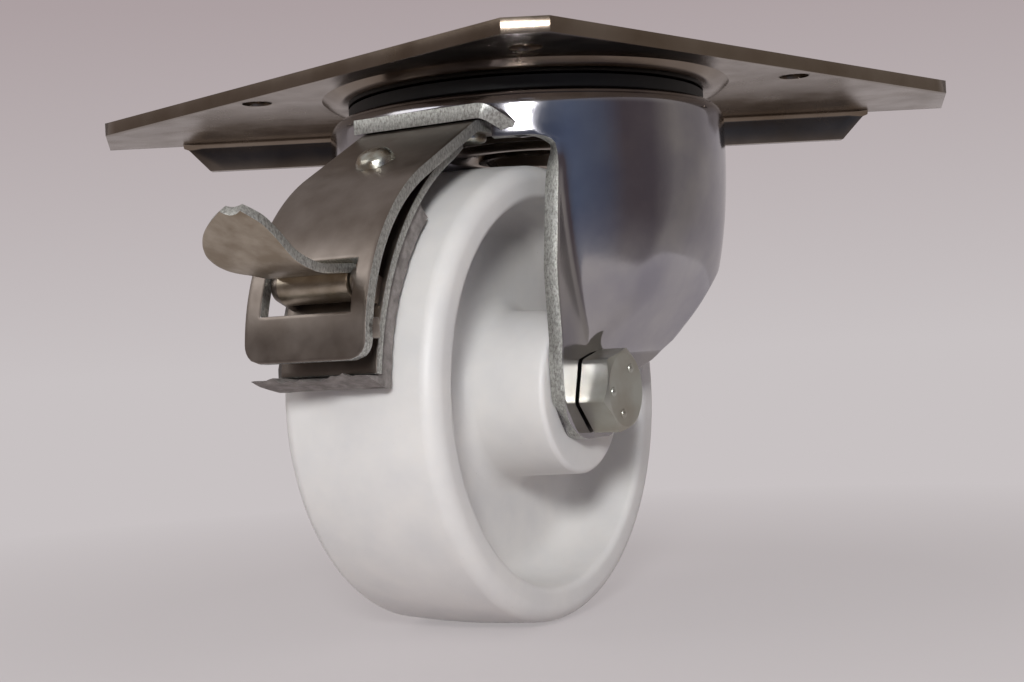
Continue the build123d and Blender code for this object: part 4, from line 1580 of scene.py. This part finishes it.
class CASTOR_OT_stage(bpy.types.Operator):
    """Pale floor, soft lights and the camera"""

    bl_idname = "castor.stage"
    bl_label = "Stage"

    def execute(self, context):
        stage = context.scene.castor_stage
        self.floor(stage)
        self.room(stage)
        self.light("key_light", (-0.03, -0.62, 0.13), (0, 0, -0.05), 0.12, stage.key_level)
        self.light("fill_light", (-0.75, -0.25, 0.45), (0, 0, -0.04), 0.5, stage.fill_level)
        self.camera(stage)
        context.scene.view_settings.view_transform = "Standard"
        return {"FINISHED"}

    def floor(self, stage):
        """Round floor, as a flat disk of rings."""
        turns = [2 * math.pi * k / 64 for k in range(64)]
        shell = Shell()
        rows = shell.grid(
            [
                [Vector((r * math.cos(a), r * math.sin(a), FLOOR_Z)) for a in turns]
                for r in FLOOR_RINGS
            ],
            closed=True,
        )
        shell.cap(rows[0])
        floor = shell.piece("floor", 80)
        floor.data.materials.append(self.paper(stage))

    def paper(self, stage):
        """Pale matt paper that keeps the castor's shadow and fades into the backdrop."""
        material, tree, shader = new_material("plain_matt_paper")
        shader.inputs["Base Color"].default_value = rgba(stage.floor)
        shader.inputs["Roughness"].default_value = 0.95
        shader.inputs["Specular IOR Level"].default_value = 0.05
        ray = add_node(tree, "ShaderNodeLightPath")
        pale = add_node(
            tree, "ShaderNodeEmission", {"Color": rgba(stage.paper_glow), "Strength": 1.0}
        )
        seen = add_node(
            tree, "ShaderNodeMath",
            {0: ray.outputs["Is Camera Ray"], 1: ray.outputs["Is Glossy Ray"]},
            operation="MAXIMUM",
        )
        place = add_node(tree, "ShaderNodeTexCoord")
        flat = add_node(
            tree, "ShaderNodeVectorMath", {0: place.outputs["Object"], 1: (1, 1, 0)},
            operation="MULTIPLY",
        )
        reach = add_node(
            tree, "ShaderNodeVectorMath", {0: flat.outputs["Vector"]}, operation="LENGTH"
        )
        faded = add_node(
            tree, "ShaderNodeMapRange",
            {"Value": reach.outputs["Value"], "From Min": 0.08, "From Max": 0.24, "To Min": 0.6},
        )
        part = add_node(
            tree, "ShaderNodeMath", {0: seen.outputs["Value"], 1: faded.outputs["Result"]},
            operation="MULTIPLY",
        )
        mixed = add_node(
            tree, "ShaderNodeMixShader",
            {"Fac": part.outputs["Value"], 1: shader.outputs["BSDF"], 2: pale.outputs["Emission"]},
        )
        out = next(node for node in tree.nodes if node.type == "OUTPUT_MATERIAL")
        tree.links.new(mixed.outputs["Shader"], out.inputs["Surface"])
        return material

    def room(self, stage):
        """Room round the castor: pale behind it, dim brown and blue on the camera's side, and for
        the camera a pale backdrop with painted light falloff, darker towards the top.
        """
        world = bpy.data.worlds.new("room")
        world.use_nodes = True
        bpy.context.scene.world = world
        tree = world.node_tree
        tree.nodes.clear()
        place = add_node(tree, "ShaderNodeTexCoord")
        axes = add_node(tree, "ShaderNodeSeparateXYZ", {"Vector": place.outputs["Generated"]})
        ahead = add_node(
            tree, "ShaderNodeMath", {0: axes.outputs["Y"], 1: -1.0}, operation="MULTIPLY"
        )
        turn = add_node(
            tree, "ShaderNodeMath", {0: axes.outputs["X"], 1: ahead.outputs["Value"]},
            operation="ARCTAN2",
        )
        way = add_node(
            tree, "ShaderNodeMapRange",
            {"Value": turn.outputs["Value"], "From Min": -math.pi, "From Max": math.pi},
        )
        walls = add_node(
            tree, "ShaderNodeValToRGB", {"Fac": way.outputs["Result"]},
            [((degrees + 180) / 360, linear(code)) for degrees, code in ROOM_WALLS],
        )
        height = add_node(
            tree, "ShaderNodeMapRange",
            {"Value": axes.outputs["Z"], "From Min": 0.25, "From Max": 0.9},
        )
        above = add_node(
            tree, "ShaderNodeMix",
            {"Factor": height.outputs["Result"], MIX_ONE: walls.outputs["Color"],
             MIX_TWO: rgba(linear(CEILING))},
            data_type="RGBA",
        )
        depth = add_node(
            tree, "ShaderNodeMapRange",
            {"Value": axes.outputs["Z"], "From Min": -0.1, "From Max": -0.55},
        )
        below = add_node(
            tree, "ShaderNodeMix",
            {"Factor": depth.outputs["Result"], MIX_ONE: above.outputs[MIX_OUT],
             MIX_TWO: rgba(stage.backdrop)},
            data_type="RGBA",
        )
        light = add_node(
            tree, "ShaderNodeBackground",
            {"Color": below.outputs[MIX_OUT], "Strength": stage.room_level},
        )
        # The camera sees the backdrop darker towards the top: painted light falloff.
        rise = add_node(
            tree, "ShaderNodeMapRange", {"Value": axes.outputs["Z"], "From Max": 0.22}
        )
        fade = add_node(
            tree, "ShaderNodeValToRGB", {"Fac": rise.outputs["Result"]},
            [(0.0, stage.backdrop), (1.0, stage.backdrop_top_painted_falloff)],
        )
        pale = add_node(
            tree, "ShaderNodeBackground", {"Color": fade.outputs["Color"], "Strength": 1.0}
        )
        ray = add_node(tree, "ShaderNodeLightPath")
        mixed = add_node(
            tree, "ShaderNodeMixShader",
            {"Fac": ray.outputs["Is Camera Ray"], 1: light.outputs["Background"],
             2: pale.outputs["Background"]},
        )
        add_node(tree, "ShaderNodeOutputWorld", {"Surface": mixed.outputs["Shader"]})

    def light(self, name, place, target, size, power):
        lamp = bpy.data.lights.new(name, "AREA")
        lamp.shape = "DISK"
        lamp.size = size
        lamp.energy = power
        item = bpy.data.objects.new(name, lamp)
        item.location = place
        aim = Vector(target) - Vector(place)
        item.rotation_mode = "QUATERNION"
        item.rotation_quaternion = aim.to_track_quat("-Z", "Y")
        bpy.context.scene.collection.objects.link(item)

    def camera(self, stage):
        """Camera at the photograph's viewing angle, just under the plate."""
        yaw, pitch, roll = CAMERA_YAW, CAMERA_PITCH, CAMERA_ROLL
        ahead = Vector((
            math.sin(yaw) * math.cos(pitch), math.cos(yaw) * math.cos(pitch), math.sin(pitch)
        ))
        right = Vector((math.cos(yaw), -math.sin(yaw), 0))
        up = right.cross(ahead)
        right, up = (
            right * math.cos(roll) + up * math.sin(roll),
            up * math.cos(roll) - right * math.sin(roll),
        )
        data = bpy.data.cameras.new("camera")
        data.lens = stage.lens
        data.sensor_width = 36
        data.clip_start, data.clip_end = 0.01, 20
        camera = bpy.data.objects.new("camera", data)
        turn = Matrix((right, up, -ahead)).transposed().to_4x4()
        camera.matrix_world = Matrix.Translation(fixed(*CAMERA_PLACE)) @ turn
        bpy.context.scene.collection.objects.link(camera)
        bpy.context.scene.camera = camera


OPERATORS = (
    CASTOR_OT_finishes,
    CASTOR_OT_top_plate,
    CASTOR_OT_fork,
    CASTOR_OT_wheel,
    CASTOR_OT_brake_cover,
    CASTOR_OT_brake_leaf,
    CASTOR_OT_brake_pad,
    CASTOR_OT_brake_lever,
    CASTOR_OT_brake_rivet,
    CASTOR_OT_axle_bolt,
    CASTOR_OT_carried_nodes,
    CASTOR_OT_stage,
)


class CASTOR_PT_panel(bpy.types.Panel):
    """Sidebar panel with the sizes, colours and steps of the castor"""

    bl_idname = "CASTOR_PT_panel"
    bl_label = "Braked castor"
    bl_space_type = "VIEW_3D"
    bl_region_type = "UI"
    bl_category = "Castor"

    def draw(self, context):
        for operator in OPERATORS:
            self.layout.operator(operator.bl_idname)
        for name, group in PROPERTY_GROUPS.items():
            box = self.layout.box()
            for key in group.__annotations__:
                box.prop(getattr(context.scene, name), key)


CLASSES = (*PROPERTY_GROUPS.values(), *OPERATORS, CASTOR_PT_panel)


def register():
    for item in CLASSES:
        bpy.utils.register_class(item)
    for name, group in PROPERTY_GROUPS.items():
        setattr(bpy.types.Scene, name, bpy.props.PointerProperty(type=group))


def unregister():
    for name in PROPERTY_GROUPS:
        delattr(bpy.types.Scene, name)
    for item in reversed(CLASSES):
        bpy.utils.unregister_class(item)


def main():
    register()
    for operator in OPERATORS:
        group, name = operator.bl_idname.split(".")
        getattr(getattr(bpy.ops, group), name)()
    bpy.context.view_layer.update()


if __name__ == "__main__":
    main()
